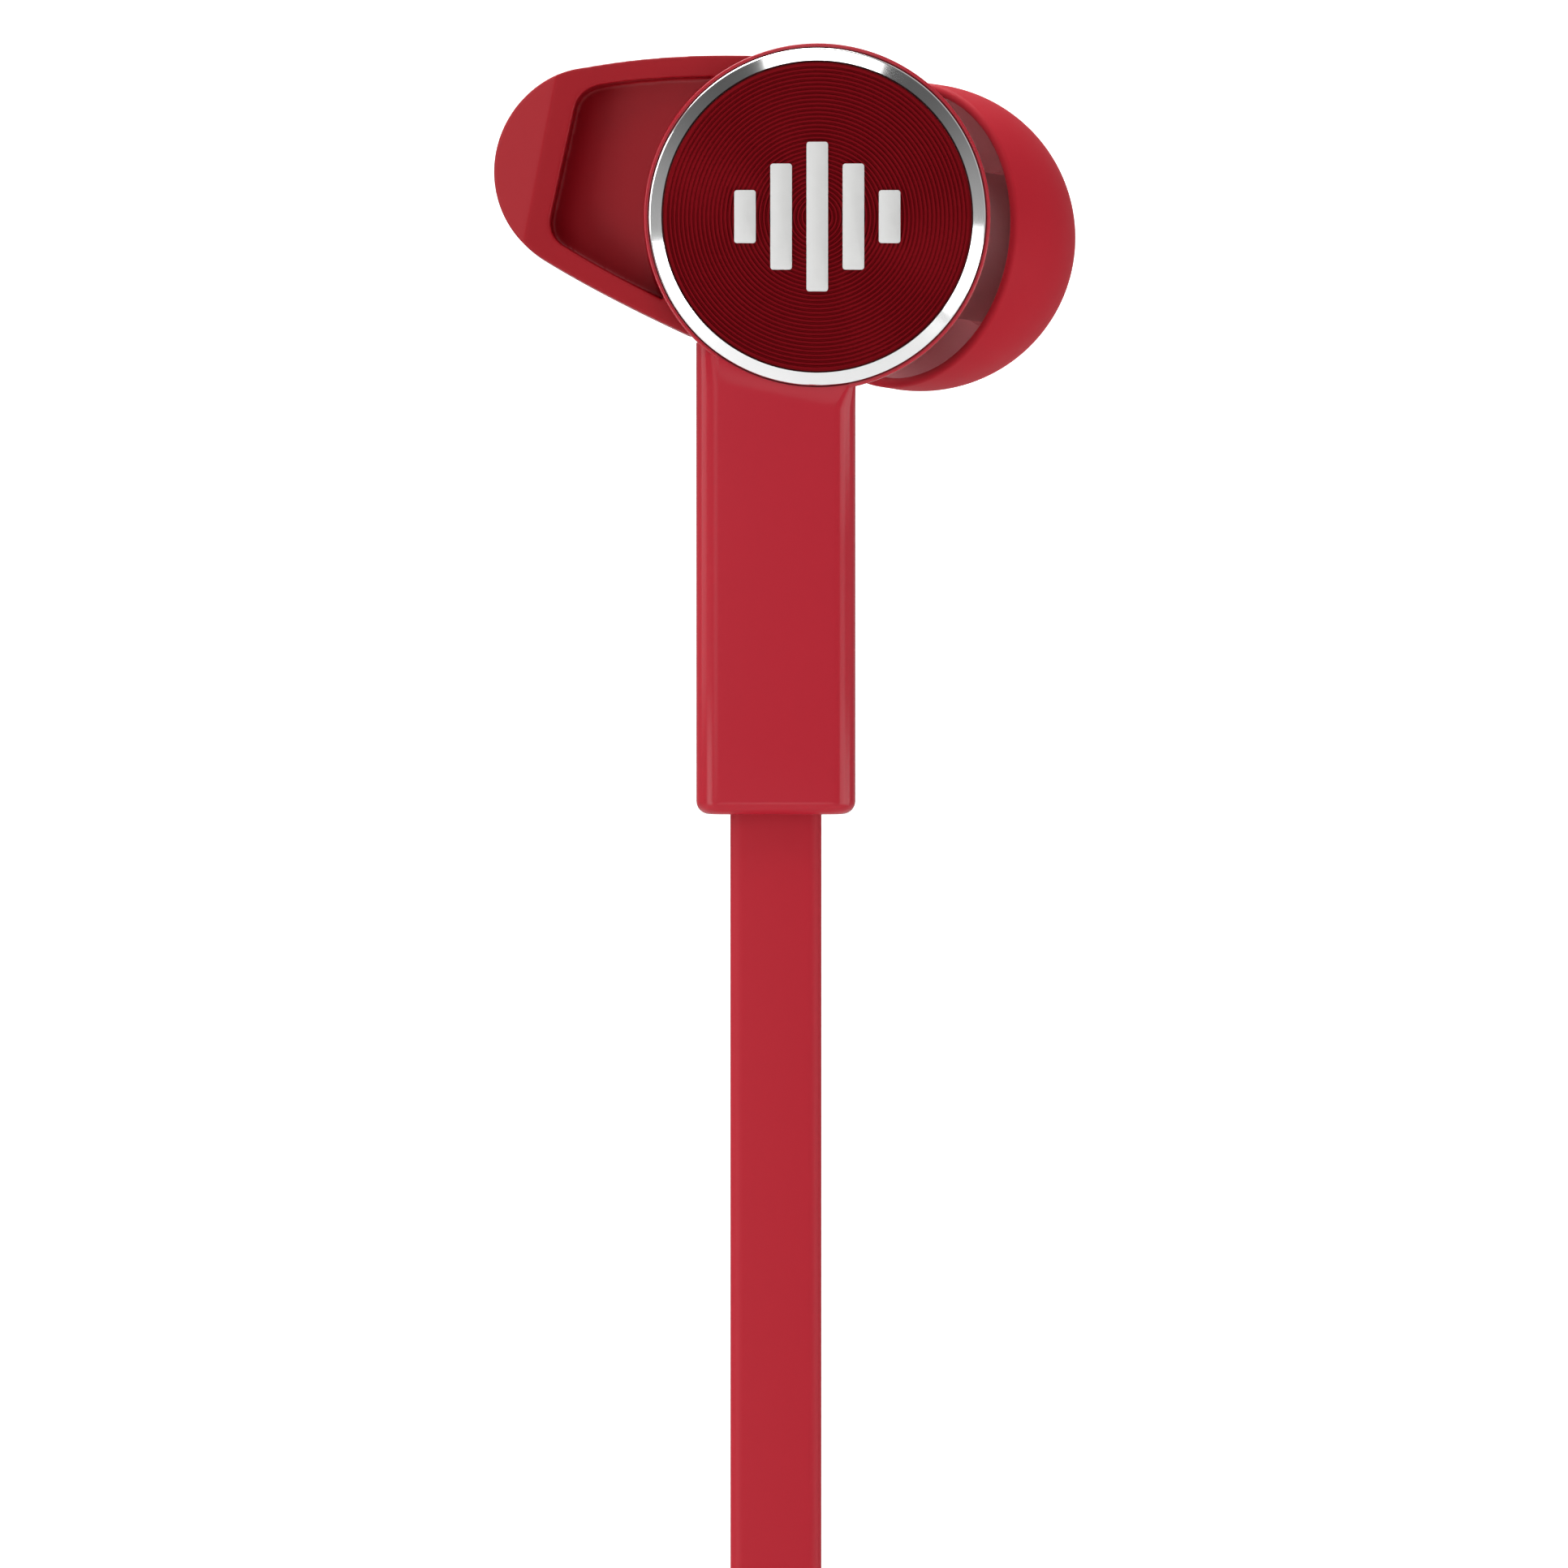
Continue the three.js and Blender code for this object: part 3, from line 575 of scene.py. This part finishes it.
def make_stage():
    """A pale floor that curves up into a wall, well clear of the hanging lead."""
    floor_z = -0.34
    wall_y = 1.3
    bend = 0.4
    profile = [(-2.4, floor_z)]
    for i in range(17):
        a = math.radians(90 * i / 16)
        profile.append((wall_y - bend + bend * math.sin(a), floor_z + bend - bend * math.cos(a)))
    profile.append((wall_y, 2.4))
    bm = bmesh.new()
    rows = [[bm.verts.new((x, y, z)) for x in (-3.0, 3.0)] for y, z in profile]
    for low, high in zip(rows, rows[1:]):
        bm.faces.new((low[0], low[1], high[1], high[0]))
    mesh = bpy.data.meshes.new("studio_floor")
    bm.to_mesh(mesh)
    bm.free()
    mesh.shade_smooth()
    look = Nodes("pale_paper")
    look.link(look.mix(look.noise(3.0), (0.58, 0.58, 0.58, 1), (0.62, 0.62, 0.62, 1)), "Base Color")
    look.set(Roughness=0.9, Emission_Color=(1, 1, 1, 1))
    seen = look.add("ShaderNodeLightPath").outputs["Is Camera Ray"]
    look.link(look.spread_from(seen, 0, 1, 0.1, 1.0), "Emission Strength")
    mesh.materials.append(look.material)
    floor = bpy.data.objects.new("studio_floor", mesh)
    bpy.context.scene.collection.objects.link(floor)


make_camera()
light_scene()
make_stage()

# ---------------------------------------------------------------- the lead
# The lead's own stops, y then z of its middle: the hanging stretch, then the last stretch to the plug.
LEAD_ROUTE = [
    (2.9, -25.16), (2.9, -32), (2.9, -40), (2.9, -48), (2.9, -54), (2.9, -58.1), (3.1, -60.1), (3.6, -62.0),
    (4.5, -64.0), (6.0, -65.95),
]
TAIL_ROUTE = [
    (12.7, -92.53), (11.0, -94.15), (8.65, -95.28), (6.9, -96.05), (5.35, -97.2), (4.1, -98.75),
    (3.2, -100.9), (2.9, -102.65),
]
HANK = {"straight": 42.0, "inner": 11.5, "pitch": 1.42, "turns": 6, "top": -87.6}


def hank_points():
    """The wound part, from where the lead meets the outermost loop to where it leaves the innermost.

    Angles are degrees past the top of a loop, the way that the cord runs: down the back, up the front.
    """
    start = 21.2
    end = HANK["turns"] * 360 + 90
    step = 15
    upper = HANK["top"]
    lower = HANK["top"] - HANK["straight"]
    points = []
    angle = start
    while angle <= end:
        radius = HANK["inner"] + HANK["pitch"] * (end - angle) / 360
        a = math.radians(angle)
        y = CORD_Y + radius * math.sin(a)
        quarter = angle % 360
        centre = upper if quarter <= 90 or quarter > 270 else lower
        points.append((y, centre + radius * math.cos(a)))
        if quarter in (90, 270) and angle < end:
            other = upper + lower - centre
            points += [(y, centre + (other - centre) * part) for part in (1 / 3, 2 / 3, 1)]
        angle = next_stop(angle, step)
    return points


def next_stop(angle, step):
    """The next multiple of the step, so that each loop has stops where its straight runs begin."""
    return (math.floor(angle / step + 1e-9) + 1) * step


def catmull(points, parts):
    """A smooth line through 2-D points, with that many parts between two of them."""
    line = []
    last = len(points) - 1
    for i in range(last):
        p0 = points[max(i - 1, 0)]
        p1 = points[i]
        p2 = points[i + 1]
        p3 = points[min(i + 2, last)]
        for k in range(parts):
            t = k / parts
            line.append(tuple(
                0.5 * (2 * b + (c - a) * t + (2 * a - 5 * b + 4 * c - d) * t * t
                       + (3 * b - a - 3 * c + d) * t ** 3)
                for a, b, c, d in zip(p0, p1, p2, p3)
            ))
    line.append(points[-1])
    return line


def ribbon_mesh(name, line, section):
    """A flat cord swept along a line in the plane of y and z; its wide side lies along x."""
    bm = bmesh.new()
    rings = []
    last = len(line) - 1
    for i, (y, z) in enumerate(line):
        before = line[max(i - 1, 0)]
        after = line[min(i + 1, last)]
        along = Vector((after[0] - before[0], after[1] - before[1])).normalized()
        out = Vector((-along.y, along.x))
        rings.append([
            bm.verts.new((STEM_X + across, y + out.x * rise, z + out.y * rise)) for across, rise in section
        ])
    skin(bm, rings)
    return finish_mesh(bm, name)


def make_lead():
    """One cord at its full length, from inside the stem through the hank to inside the plug's boot."""
    into_stem = 1.6
    into_boot = 1.2
    edge_round = 0.54
    inside_stem = (LEAD_ROUTE[0][0], LEAD_ROUTE[0][1] + into_stem)
    inside_boot = (TAIL_ROUTE[-1][0], TAIL_ROUTE[-1][1] - into_boot)
    meets_hank = (7.8, -67.45)
    leaves_hank = (14.05, -90.2)
    stops = [inside_stem, *LEAD_ROUTE, meets_hank, *hank_points(), leaves_hank, *TAIL_ROUTE, inside_boot]
    line = catmull(stops, 4)
    section = rounded_box(0, 0, CORD_WIDTH, CORD_THICKNESS, edge_round, 5)
    cord = keep(
        "flat_lead", ribbon_mesh("flat_lead", line, section), "cord", "earpiece",
        "lead", "lead_hank", "lead_tail",
    )
    path = [tuple(spot(STEM_X, y, z)) for y, z in line]
    return cord, path


lead, lead_path = make_lead()


# ---------------------------------------------------------------- the faceplate side
def make_faceplate():
    """A turned disc with fine concentric grooves; the outer lip and the centre are plain."""
    pitch = FACE_GROOVE_PITCH
    depth = 0.035
    plain_lip = 0.2
    edge_round = 0.05
    low, high = local_box("faceplate")
    front, back = low.y, high.y
    groove = [(-0.5, 0), (-0.3, 0), (-0.08, depth), (0.08, depth), (0.3, 0)]  # pitches across, depth
    profile = [(0, front)]
    radius = pitch
    while radius < FACE_RADIUS - plain_lip:
        profile += [(radius + pitch * across, front + sunk) for across, sunk in groove]
        radius += pitch
    profile += arc(FACE_RADIUS - edge_round, front + edge_round, edge_round, 270, 360, 4)
    profile += [(FACE_RADIUS, back), (0, back)]
    keep("faceplate_turned", turned_mesh("faceplate_turned", profile, 256), "face", "earpiece", "faceplate")


def make_bezel():
    """A polished ring: one bevel that falls away from a crisp inner edge, and a rounded outer one."""
    inner = FACE_RADIUS + 0.05
    back = local_box("bezel_ring")[1].y
    bevel_end = BEZEL_RADIUS - 0.07
    fall = math.tan(math.radians(25)) * (bevel_end - inner)
    profile = [
        (inner, back), (inner, 0.0), (inner + 0.01, 0.005), (bevel_end - 0.01, fall - 0.005),
        (bevel_end, fall), (BEZEL_RADIUS - 0.02, fall + 0.035), (BEZEL_RADIUS, fall + 0.08),
        (BEZEL_RADIUS, back),
    ]
    keep("bezel_polished", turned_mesh("bezel_polished", profile, 256), "chrome", "earpiece", "bezel_ring")


def make_badge():
    """Five upright bars of a plain level meter, each with a rounded edge."""
    for i in range(1, 6):
        node = f"badge_bar_{i}"
        low, high = local_box(node)
        centre = (low + high) / 2
        size = high - low
        outline = rounded_box(centre.x, centre.z, size.x, size.z, 0.12, 6)
        body = scratch_object(prism_mesh(node + "_satin", outline, low.y, high.y))
        round_edges(body, 0.03, 2)
        keep(node + "_satin", smooth(applied(body, node + "_satin")), "badge", "earpiece", node)


def round_edges(body, width, segments, degrees=40):
    """Rounds the edges that turn by more than this angle."""
    bevel = body.modifiers.new("round", "BEVEL")
    bevel.width = width * MM
    bevel.segments = segments
    bevel.limit_method = "ANGLE"
    bevel.angle_limit = math.radians(degrees)


def make_front_shell():
    """The can with its flange, cut away over the stem so that the stem's front runs up to the ring."""
    low, high = local_box("front_shell")
    outer = (high.x - low.x) / 2
    seat = BEZEL_RADIUS + 0.05
    ledge = 0.8
    bore = 6.05
    lip = 0.07
    edge = 0.05
    groove = GROOVE_RADIUS
    step = GROOVE_NEAR
    profile = [(seat, ledge), (seat, low.y + 0.03)]
    profile += arc(outer - lip, low.y + lip, lip, 250, 360, 6)
    profile += arc(outer - edge, step - edge, edge, 0, 90, 3)
    profile += [(groove + 0.04, step), (groove, step + 0.04), (groove, high.y)]
    profile += [(bore, high.y), (bore, ledge)]
    can = turned_mesh("front_shell_moulded", profile, HOUSING_FACETS)
    notch_low = (STEM_X - STEM_WIDTH / 2 + 0.9, -1, -8)
    notch_high = (STEM_X + STEM_WIDTH / 2 - 0.3, step - 0.01, -5.5)
    ring = rod_mesh("ring", seat, -2, 3, HOUSING_FACETS)
    notch = carve(box_mesh("notch", notch_low, notch_high), [("DIFFERENCE", ring)])
    can = carve(can, [("DIFFERENCE", notch)])
    keep("front_shell_moulded", smooth(can), "housing", "earpiece", "front_shell")


def make_rear_shell():
    """The rear cover runs into the nozzle with a soft fillet.

    Known fault: trim starts at 4.0, but the neck reaches forward to 2.5, so a lump of the neck is left in
    the driver's space.
    """
    seam = 4.65
    rim = REAR_RIM
    cover = turned_mesh("cover", [
        (0, seam), (rim, seam), (rim, 4.95), (rim - 0.12, 5.2), (rim - 0.45, REAR_FACE), (0, REAR_FACE),
    ], 160)
    neck = turned_mesh("neck", [
        (0, -0.6), (4.9, -0.6), (4.2, 0.5), (3.3, 2.4), (2.7, 3.1), (NOZZLE_RADIUS, 3.9),
        (NOZZLE_RADIUS, NOZZLE_END - 0.5), (NOZZLE_RADIUS + 0.08, NOZZLE_END - 0.35),
        (NOZZLE_RADIUS - 0.15, NOZZLE_END), (0, NOZZLE_END),
    ], 128, nozzle_place())
    bore = rod_mesh("bore", NOZZLE_BORE, 3.0, 14, 96, nozzle_place())
    trim = rod_mesh("trim", rim + 2, 4.0, seam - 0.01, 64)
    vent = rod_mesh("vent", 0.6, 5.1, 7, 48, Matrix.Translation((-4.2, 0, 1.5)))
    shell = carve(cover, [("UNION", neck), ("DIFFERENCE", bore), ("DIFFERENCE", trim), ("DIFFERENCE", vent)])
    keep("rear_shell_moulded", moulded_mesh(shell, 0.09, 12), "inner", "earpiece", "rear_shell")


def nozzle_place():
    """Turns a profile's Y axis onto the nozzle's axis, from the nozzle's root on the housing's axis."""
    turn = Vector((0, 1, 0)).rotation_difference(NOZZLE_AXIS)
    return Matrix.Translation(NOZZLE_ROOT) @ turn.to_matrix().to_4x4()


def make_screen():
    """Two layers of straight wires across the nozzle's mouth, which look woven. They cross through each
    other at half of their crossings."""
    reach = NOZZLE_BORE - 0.04
    wires = 15
    thick = 0.055
    weave = 0.03
    bm = bmesh.new()
    for i in range(wires):
        offset = reach * (2 * (i + 0.5) / wires - 1)
        half = math.sqrt(max(reach ** 2 - offset ** 2, 0.01))
        for turned in (False, True):
            lift = weave if (i % 2) == turned else -weave
            add_wire(bm, offset, half, thick, SCREEN_SEAT + lift, turned)
    keep("nozzle_screen_woven", finish_mesh(bm, "nozzle_screen_woven", nozzle_place()), "mesh", "earpiece",
         "nozzle_screen")


def add_wire(bm, offset, half, thick, y, turned):
    size = (2 * half, thick, thick)
    place = Matrix.Translation((0, y, offset))
    if turned:
        place = Matrix.Translation((offset, y, 0)) @ Matrix.Rotation(math.pi / 2, 4, "Y")
    bmesh.ops.create_cube(bm, size=1, matrix=place @ Matrix.Diagonal((*size, 1)))


# ---------------------------------------------------------------- wing and ear tip
def make_wing():
    """A fin with a pocket in its front, on a sleeve that is open round the stem."""
    near = GROOVE_NEAR + 0.05
    far = 4.9
    beyond = 6  # cutting tools end behind the wing
    fin = prism_mesh("fin", wing_outline(), near, far)
    housing = rod_mesh("housing", SLEEVE_INNER, 0, beyond)
    rear = rod_mesh("rear", REAR_RIM + 0.08, SLEEVE_FAR, beyond)
    sleeve = turned_mesh("sleeve", [
        (SLEEVE_INNER, near), (SLEEVE_OUTER, near), (SLEEVE_OUTER, SLEEVE_FAR), (SLEEVE_INNER, SLEEVE_FAR),
    ])
    hub = rod_mesh("hub", SLEEVE_OUTER, near - 2, beyond)
    gap = prism_mesh("gap", [(0, 0), (-6.64, -6.08), (0, -14), (5.23, -7.32)], 0, beyond)
    pocket = prism_mesh("pocket", pocket_outline(), near - 1, pocket_floor)
    pocket = carve(pocket, [("DIFFERENCE", hub)])
    sleeve = carve(sleeve, [("DIFFERENCE", gap)])
    wing = carve(fin, [
        ("DIFFERENCE", end_slope(near)), ("DIFFERENCE", housing), ("DIFFERENCE", rear),
        ("DIFFERENCE", pocket), ("UNION", sleeve),
    ])
    keep("ear_wing_moulded", moulded_mesh(wing, 0.07, 4), "wing", "wing", "ear_wing")


def wing_outline():
    """The fin from its top at the housing, round its free end, and back along its lower edge."""
    end_round = arc(-9.2, 1.97, 4.3, 96, 239, 60)
    points = quadratic((-2.6, 6.73), (-6.4, 6.84), end_round[0])
    points += end_round[1:]
    points += quadratic(end_round[-1], (-9.0, -3.2), (-5.3, -4.9))[1:]
    return points + [(-3, -4), (-2.6, 5)]


def pocket_floor(x):
    """The pocket is deepest at its outer end and comes forward towards the housing."""
    return 3.9 - 0.315 * (x + 11)


def pocket_outline():
    """The pocket from its top at the housing, round its outer end, and back along its lower edge."""
    points = quadratic((-3.6, 5.86), (-7.2, 5.88), (-9.1, 5.52))
    points += quadratic((-9.1, 5.52), (-9.98, 5.3), (-10.12, 4.5), 8)[1:]
    points += quadratic((-11.1, 0.1), (-11.25, -0.8), (-10.5, -1.2), 8)
    points += quadratic((-10.5, -1.2), (-8.6, -2.4), (-6.0, -3.6))[1:]
    points.append((-3, -3))
    return points


def end_slope(near):
    """What is cut off the fin's outer end: the front slopes back from a slanting line."""
    top = Vector((-10.83, 5.9))
    bottom = Vector((-12.21, -1.08))
    along = (top - bottom).normalized()
    outward = Vector((-along.y, along.x))
    start = bottom - along * 8
    end = top + along * 8
    rise = 0.62
    reach = 8.0
    before = near - 3
    bm = bmesh.new()
    ends = []
    for place in (start, end):
        far = place + outward * reach
        ends.append([bm.verts.new(corner) for corner in (
            (place.x, near - 0.001, place.y), (far.x, near + reach * rise, far.y), (far.x, before, far.y),
            (place.x, before, place.y),
        )])
    skin(bm, ends)
    return finish_mesh(bm, "end_slope")


def make_ear_tip():
    """A soft dome on a core: the same curve outside and in, with a rolled lip."""
    seat = TIP_SEAT
    radius = 6.58
    length = 6.77
    wall = 0.42
    skirt_end = 5.3
    inner = radius - wall
    core = 3.2
    bore = 2.6
    core_start = 3.7
    edge = 0.1
    steps = 40
    profile = [
        (bore, core_start + edge), (bore + edge, core_start), (core - edge, core_start),
        (core, core_start + edge),
    ]
    top_inner = math.acos((core + 0.25) / inner)
    profile.append((core, seat + (length - wall) * math.sin(top_inner) - 0.45))
    profile += dome(inner, length - wall, seat, top_inner, 0, steps)
    profile.append((inner - 0.04, skirt_end + 0.35))
    profile += arc(radius - wall / 2 - 0.02, skirt_end + 0.18, wall / 2, 180, 360, 10)
    top_outer = math.acos((bore + 0.35) / radius)
    profile += dome(radius, length, seat, 0, top_outer, steps)
    crown = seat + length * math.sin(top_outer)
    profile += [(bore + 0.15, crown + 0.02), (bore, crown - 0.12)]
    mesh = turned_mesh("ear_tip_moulded", profile, HOUSING_FACETS, nozzle_place())
    keep("ear_tip_moulded", mesh, "tip", "tip", "ear_tip")
    # The inner faces and the core take the painted-light colours: painted reflection and painted fill light,
    # lighter and greyer than the outside red.
    mesh.materials.append(LOOKS["tip_inside"])
    mesh.materials.append(LOOKS["tip_core"])
    place_back = nozzle_place().inverted() @ Matrix.Translation(-FACE_CENTRE) @ Matrix.Scale(1 / MM, 4)
    for face in mesh.polygons:
        middle = place_back @ face.center
        radius_here = math.hypot(middle.x, middle.z)
        inside = face.normal.dot(NOZZLE_AXIS) < 0.2 and middle.y > skirt_end + 0.3
        if radius_here < core + 0.1 and middle.y < seat + length * 0.75:
            face.material_index = 2
        elif inside and radius_here < inner + 0.02:
            face.material_index = 1


def dome(radius, length, seat, start, end, steps):
    """Points of a quarter ellipse that starts at the tip's widest section."""
    points = []
    for i in range(steps + 1):
        a = start + (end - start) * i / steps
        points.append((radius * math.cos(a), seat + length * math.sin(a)))
    return points


# ---------------------------------------------------------------- stem
def stem_bar():
    """A lofted bar with a rounded lower end. Under the ring its front right corner sharpens, so that the
    front runs out to the flange."""
    front = 0.4
    back = 5.4
    middle = (front + back) / 2
    depth = back - front
    fillet = 0.55
    corner = 0.95
    sharp = 0.3
    bottom = stem_low.z
    rings = []  # height, how far in from the full size, corner radius, front right corner's radius
    for i in range(7):
        a = math.radians(90 * i / 6)
        inset = fillet * (1 - math.sin(a))
        radius = corner - inset * 0.7
        rings.append((bottom + fillet * (1 - math.cos(a)), inset, radius, radius))
    rings += [(bottom + (-8.0 - bottom) * part, 0, corner, corner) for part in (0.33, 0.66, 1)]
    rings += [(-6.95, 0, corner, sharp), (stem_high.z, 0, corner, sharp)]
    bm = bmesh.new()
    loops = []
    for z, inset, radius, front_right in rings:
        width = STEM_WIDTH - 2 * inset
        section = rounded_box(STEM_X, middle, width, depth - 2 * inset, radius, 8, front_right)
        loops.append([bm.verts.new((x, y, z)) for x, y in section])
    skin(bm, loops)
    return finish_mesh(bm, "bar")


def make_stem():
    """The bar, cut to follow the housing at its top and to take the bush at its end."""
    room = 0.06
    rim = REAR_RIM + room
    groove = GROOVE_RADIUS + room
    step = GROOVE_NEAR + room
    rear_step = 4.5
    housing = turned_mesh("flange", [
        (0, -2), (rim, -2), (rim, step), (groove, step), (groove, rear_step), (rim, rear_step),
        (rim, 8), (0, 8),
    ], HOUSING_FACETS)
    bush_low, bush_high = local_box("cord_bush")
    slack = 0.04
    seat = box_mesh(
        "seat",
        (bush_low.x - slack, bush_low.y - slack, stem_low.z - 2),
        (bush_high.x + slack, bush_high.y + slack, stem_low.z + 4),
    )
    body = scratch_object(carve(stem_bar(), [("DIFFERENCE", housing), ("DIFFERENCE", seat)]))
    round_edges(body, 0.05, 2, 50)
    keep("stem_moulded", smooth(applied(body, "stem_moulded"), 30), "stem", "earpiece", "stem")


def box_mesh(name, low, high):
    """A box between two opposite corners, in local millimetres."""
    bm = bmesh.new()
    size = [b - a for a, b in zip(low, high)]
    centre = [(a + b) / 2 for a, b in zip(low, high)]
    bmesh.ops.create_cube(bm, size=1, matrix=Matrix.Translation(centre) @ Matrix.Diagonal((*size, 1)))
    return finish_mesh(bm, name)


def make_cord_bush():
    """A grommet with rounded edges that grips the flat lead."""
    low, high = local_box("cord_bush")
    slot_low = Vector((STEM_X, CORD_Y, low.z - 1)) - CORD_SLOT
    slot_high = Vector((STEM_X, CORD_Y, high.z + 1)) + CORD_SLOT
    slot = box_mesh("slot", slot_low, slot_high)
    bush = scratch_object(carve(box_mesh("bush", low, high), [("DIFFERENCE", slot)]))
    round_edges(bush, 0.12, 2)
    keep("cord_bush_moulded", smooth(applied(bush, "cord_bush_moulded")), "boot", "earpiece", "cord_bush")


# ---------------------------------------------------------------- hank tie
def tie_outline(bulge, limb, reach, corner):
    """The band's section seen from above: narrow at the hank's two sides, wide round the plug."""
    outline = []
    for side_x, side_y, start in CORNERS:
        turn = arc(side_x * (limb - corner), side_y * (reach - corner), corner, start, start + 90, 6)
        beside_plug = [(side_x * bulge, side_y * PLUG_RADIUS)]
        outline += beside_plug + turn if side_x == side_y else turn + beside_plug
    return [(STEM_X + x, y - CORD_Y) for x, y in outline]


def make_hank_tie():
    """A stretched silicone band round the hank and the plug that lies in it."""
    low, high = local_box("hank_tie")
    wall = 0.6
    cord_room = 0.25
    outer_corner = 1.0
    bulge = (high.x - low.x) / 2
    limb = CORD_WIDTH / 2 + cord_room + wall
    reach = (high.y - low.y) / 2
    upright = Matrix.Rotation(math.pi / 2, 4, "X")
    outside = tie_outline(bulge, limb, reach, outer_corner)
    opening = tie_outline(bulge - wall, limb - wall, reach - wall, outer_corner - wall)
    band = prism_mesh("band", outside, low.z, high.z, upright)
    inside = prism_mesh("inside", opening, low.z - 1, high.z + 1, upright)
    tie = scratch_object(carve(band, [("DIFFERENCE", inside)]))
    round_edges(tie, 0.2, 3)
    mesh = smooth(applied(tie, "hank_tie_moulded"))
    return keep("hank_tie_moulded", mesh, "tie", "earpiece", "hank_tie")


# ---------------------------------------------------------------- plug
def plug_place():
    """Turns a profile's Y axis to point down the plug, from the top of its boot."""
    return Matrix.Translation((STEM_X, CORD_Y, PLUG_TOP)) @ Matrix.Rotation(-math.pi / 2, 4, "X")


BOOT_LENGTH = 6.0
GRIP_START = BOOT_LENGTH + 0.05
GRIP_END = GRIP_START + 13.0


def keep_plug_part(name, profile, facets, look, node):
    """One turned piece of the plug, from (radius, distance down the plug) pairs."""
    return keep(name, turned_mesh(name, profile, facets, plug_place()), look, "earpiece", node)


def boot_profile():
    """A tapering boot with four ribs that let it bend."""
    top_radius = 2.1
    end_radius = 2.6
    rib_pitch = 1.1
    rib_depth = 0.25
    profile = [(0, 0), (1.85, 0), (2.05, 0.15)]
    for i in range(4):
        y = 1.0 + i * rib_pitch
        r = top_radius + (end_radius - top_radius) * y / BOOT_LENGTH
        valley = r - rib_depth
        profile += [(r, y - 0.2), (valley, y - 0.05), (valley, y + 0.25), (r, y + 0.4)]
    return profile + [(2.7, BOOT_LENGTH - 0.1), (2.6, BOOT_LENGTH), (0, BOOT_LENGTH)]


def grip_profile():
    """A grip with rounded ends, five grip lines and a recess round the pin."""
    edge = 0.4
    shoulder = PLUG_RADIUS - edge
    first_line = 14.6
    line_pitch = 0.7
    line_floor = PLUG_RADIUS - 0.12
    recess_radius = 2.1
    recess_floor = GRIP_END - 0.3
    profile = [(0, GRIP_START), (shoulder, GRIP_START)]
    profile += arc(shoulder, GRIP_START + edge, edge, 270, 360, 5)
    for i in range(5):
        y = first_line + i * line_pitch
        profile += [(PLUG_RADIUS, y), (line_floor, y + 0.08)]
        profile += [(line_floor, y + 0.24), (PLUG_RADIUS, y + 0.32)]
    profile += arc(shoulder, GRIP_END - edge, edge, 0, 90, 5)
    return profile + [(recess_radius, GRIP_END), (recess_radius, recess_floor), (0, recess_floor)]


def contact_profile(node):
    """A contact or an insulator of the pin, with its edges broken."""
    low, high = local_box(node)
    radius = (high.x - low.x) / 2
    start = PLUG_TOP - high.z
    end = PLUG_TOP - low.z
    edge = 0.05
    return [
        (0, start), (radius - edge, start), (radius, start + edge),
        (radius, end - edge), (radius - edge, end), (0, end),
    ]


def tip_profile():
    """The pin's tip: a waist that the socket's spring catches, then a cone."""
    start = PLUG_TOP - local_box("plug_tip")[1].z
    shape = [
        (0, 0), (1.6, 0), (1.35, 0.4), (1.12, 0.9), (1.3, 1.3), (1.68, 1.9),
        (1.7, 2.1), (1.6, 2.5), (1.1, 3.3), (0.6, 3.95), (0.3, 4.1), (0, 4.1),
    ]
    return [(radius, start + y) for radius, y in shape]


def make_plug():
    pieces = [
        keep_plug_part("plug_boot_ribbed", boot_profile(), 96, "boot", "plug_boot"),
        keep_plug_part("plug_grip", grip_profile(), 128, "housing", "plug_shell"),
    ]
    contacts = {
        "plug_sleeve": "gold", "plug_insulator_rear": "black", "plug_ring": "gold",
        "plug_insulator_front": "black",
    }
    for node, look in contacts.items():
        pieces.append(keep_plug_part(node + "_plated", contact_profile(node), 72, look, node))
    pieces.append(keep_plug_part("plug_tip_plated", tip_profile(), 72, "gold", "plug_tip"))
    return pieces


# ---------------------------------------------------------------- everything, then the looks of the CAD parts inside
make_faceplate()
make_bezel()
make_badge()
make_front_shell()
make_rear_shell()
make_screen()
make_wing()
make_ear_tip()
make_stem()
make_cord_bush()
hank_tie = make_hank_tie()
plug_pieces = make_plug()

CAD_LOOKS = {
    "vent_screen": "mesh", "damping_foam": "foam", "driver_frame": "steel", "driver_yoke": "steel",
    "driver_magnet": "magnet", "driver_pole_plate": "steel", "voice_coil": "copper", "diaphragm": "film",
    "driver_gasket": "foam", "terminal_board": "board", "cord_anchor": "black", "signal_wire": "copper",
    "ground_wire": "black",
}
for node, look in CAD_LOOKS.items():
    mesh = frame["nodes"][node].data
    mesh.materials.clear()
    mesh.materials.append(LOOKS[look])
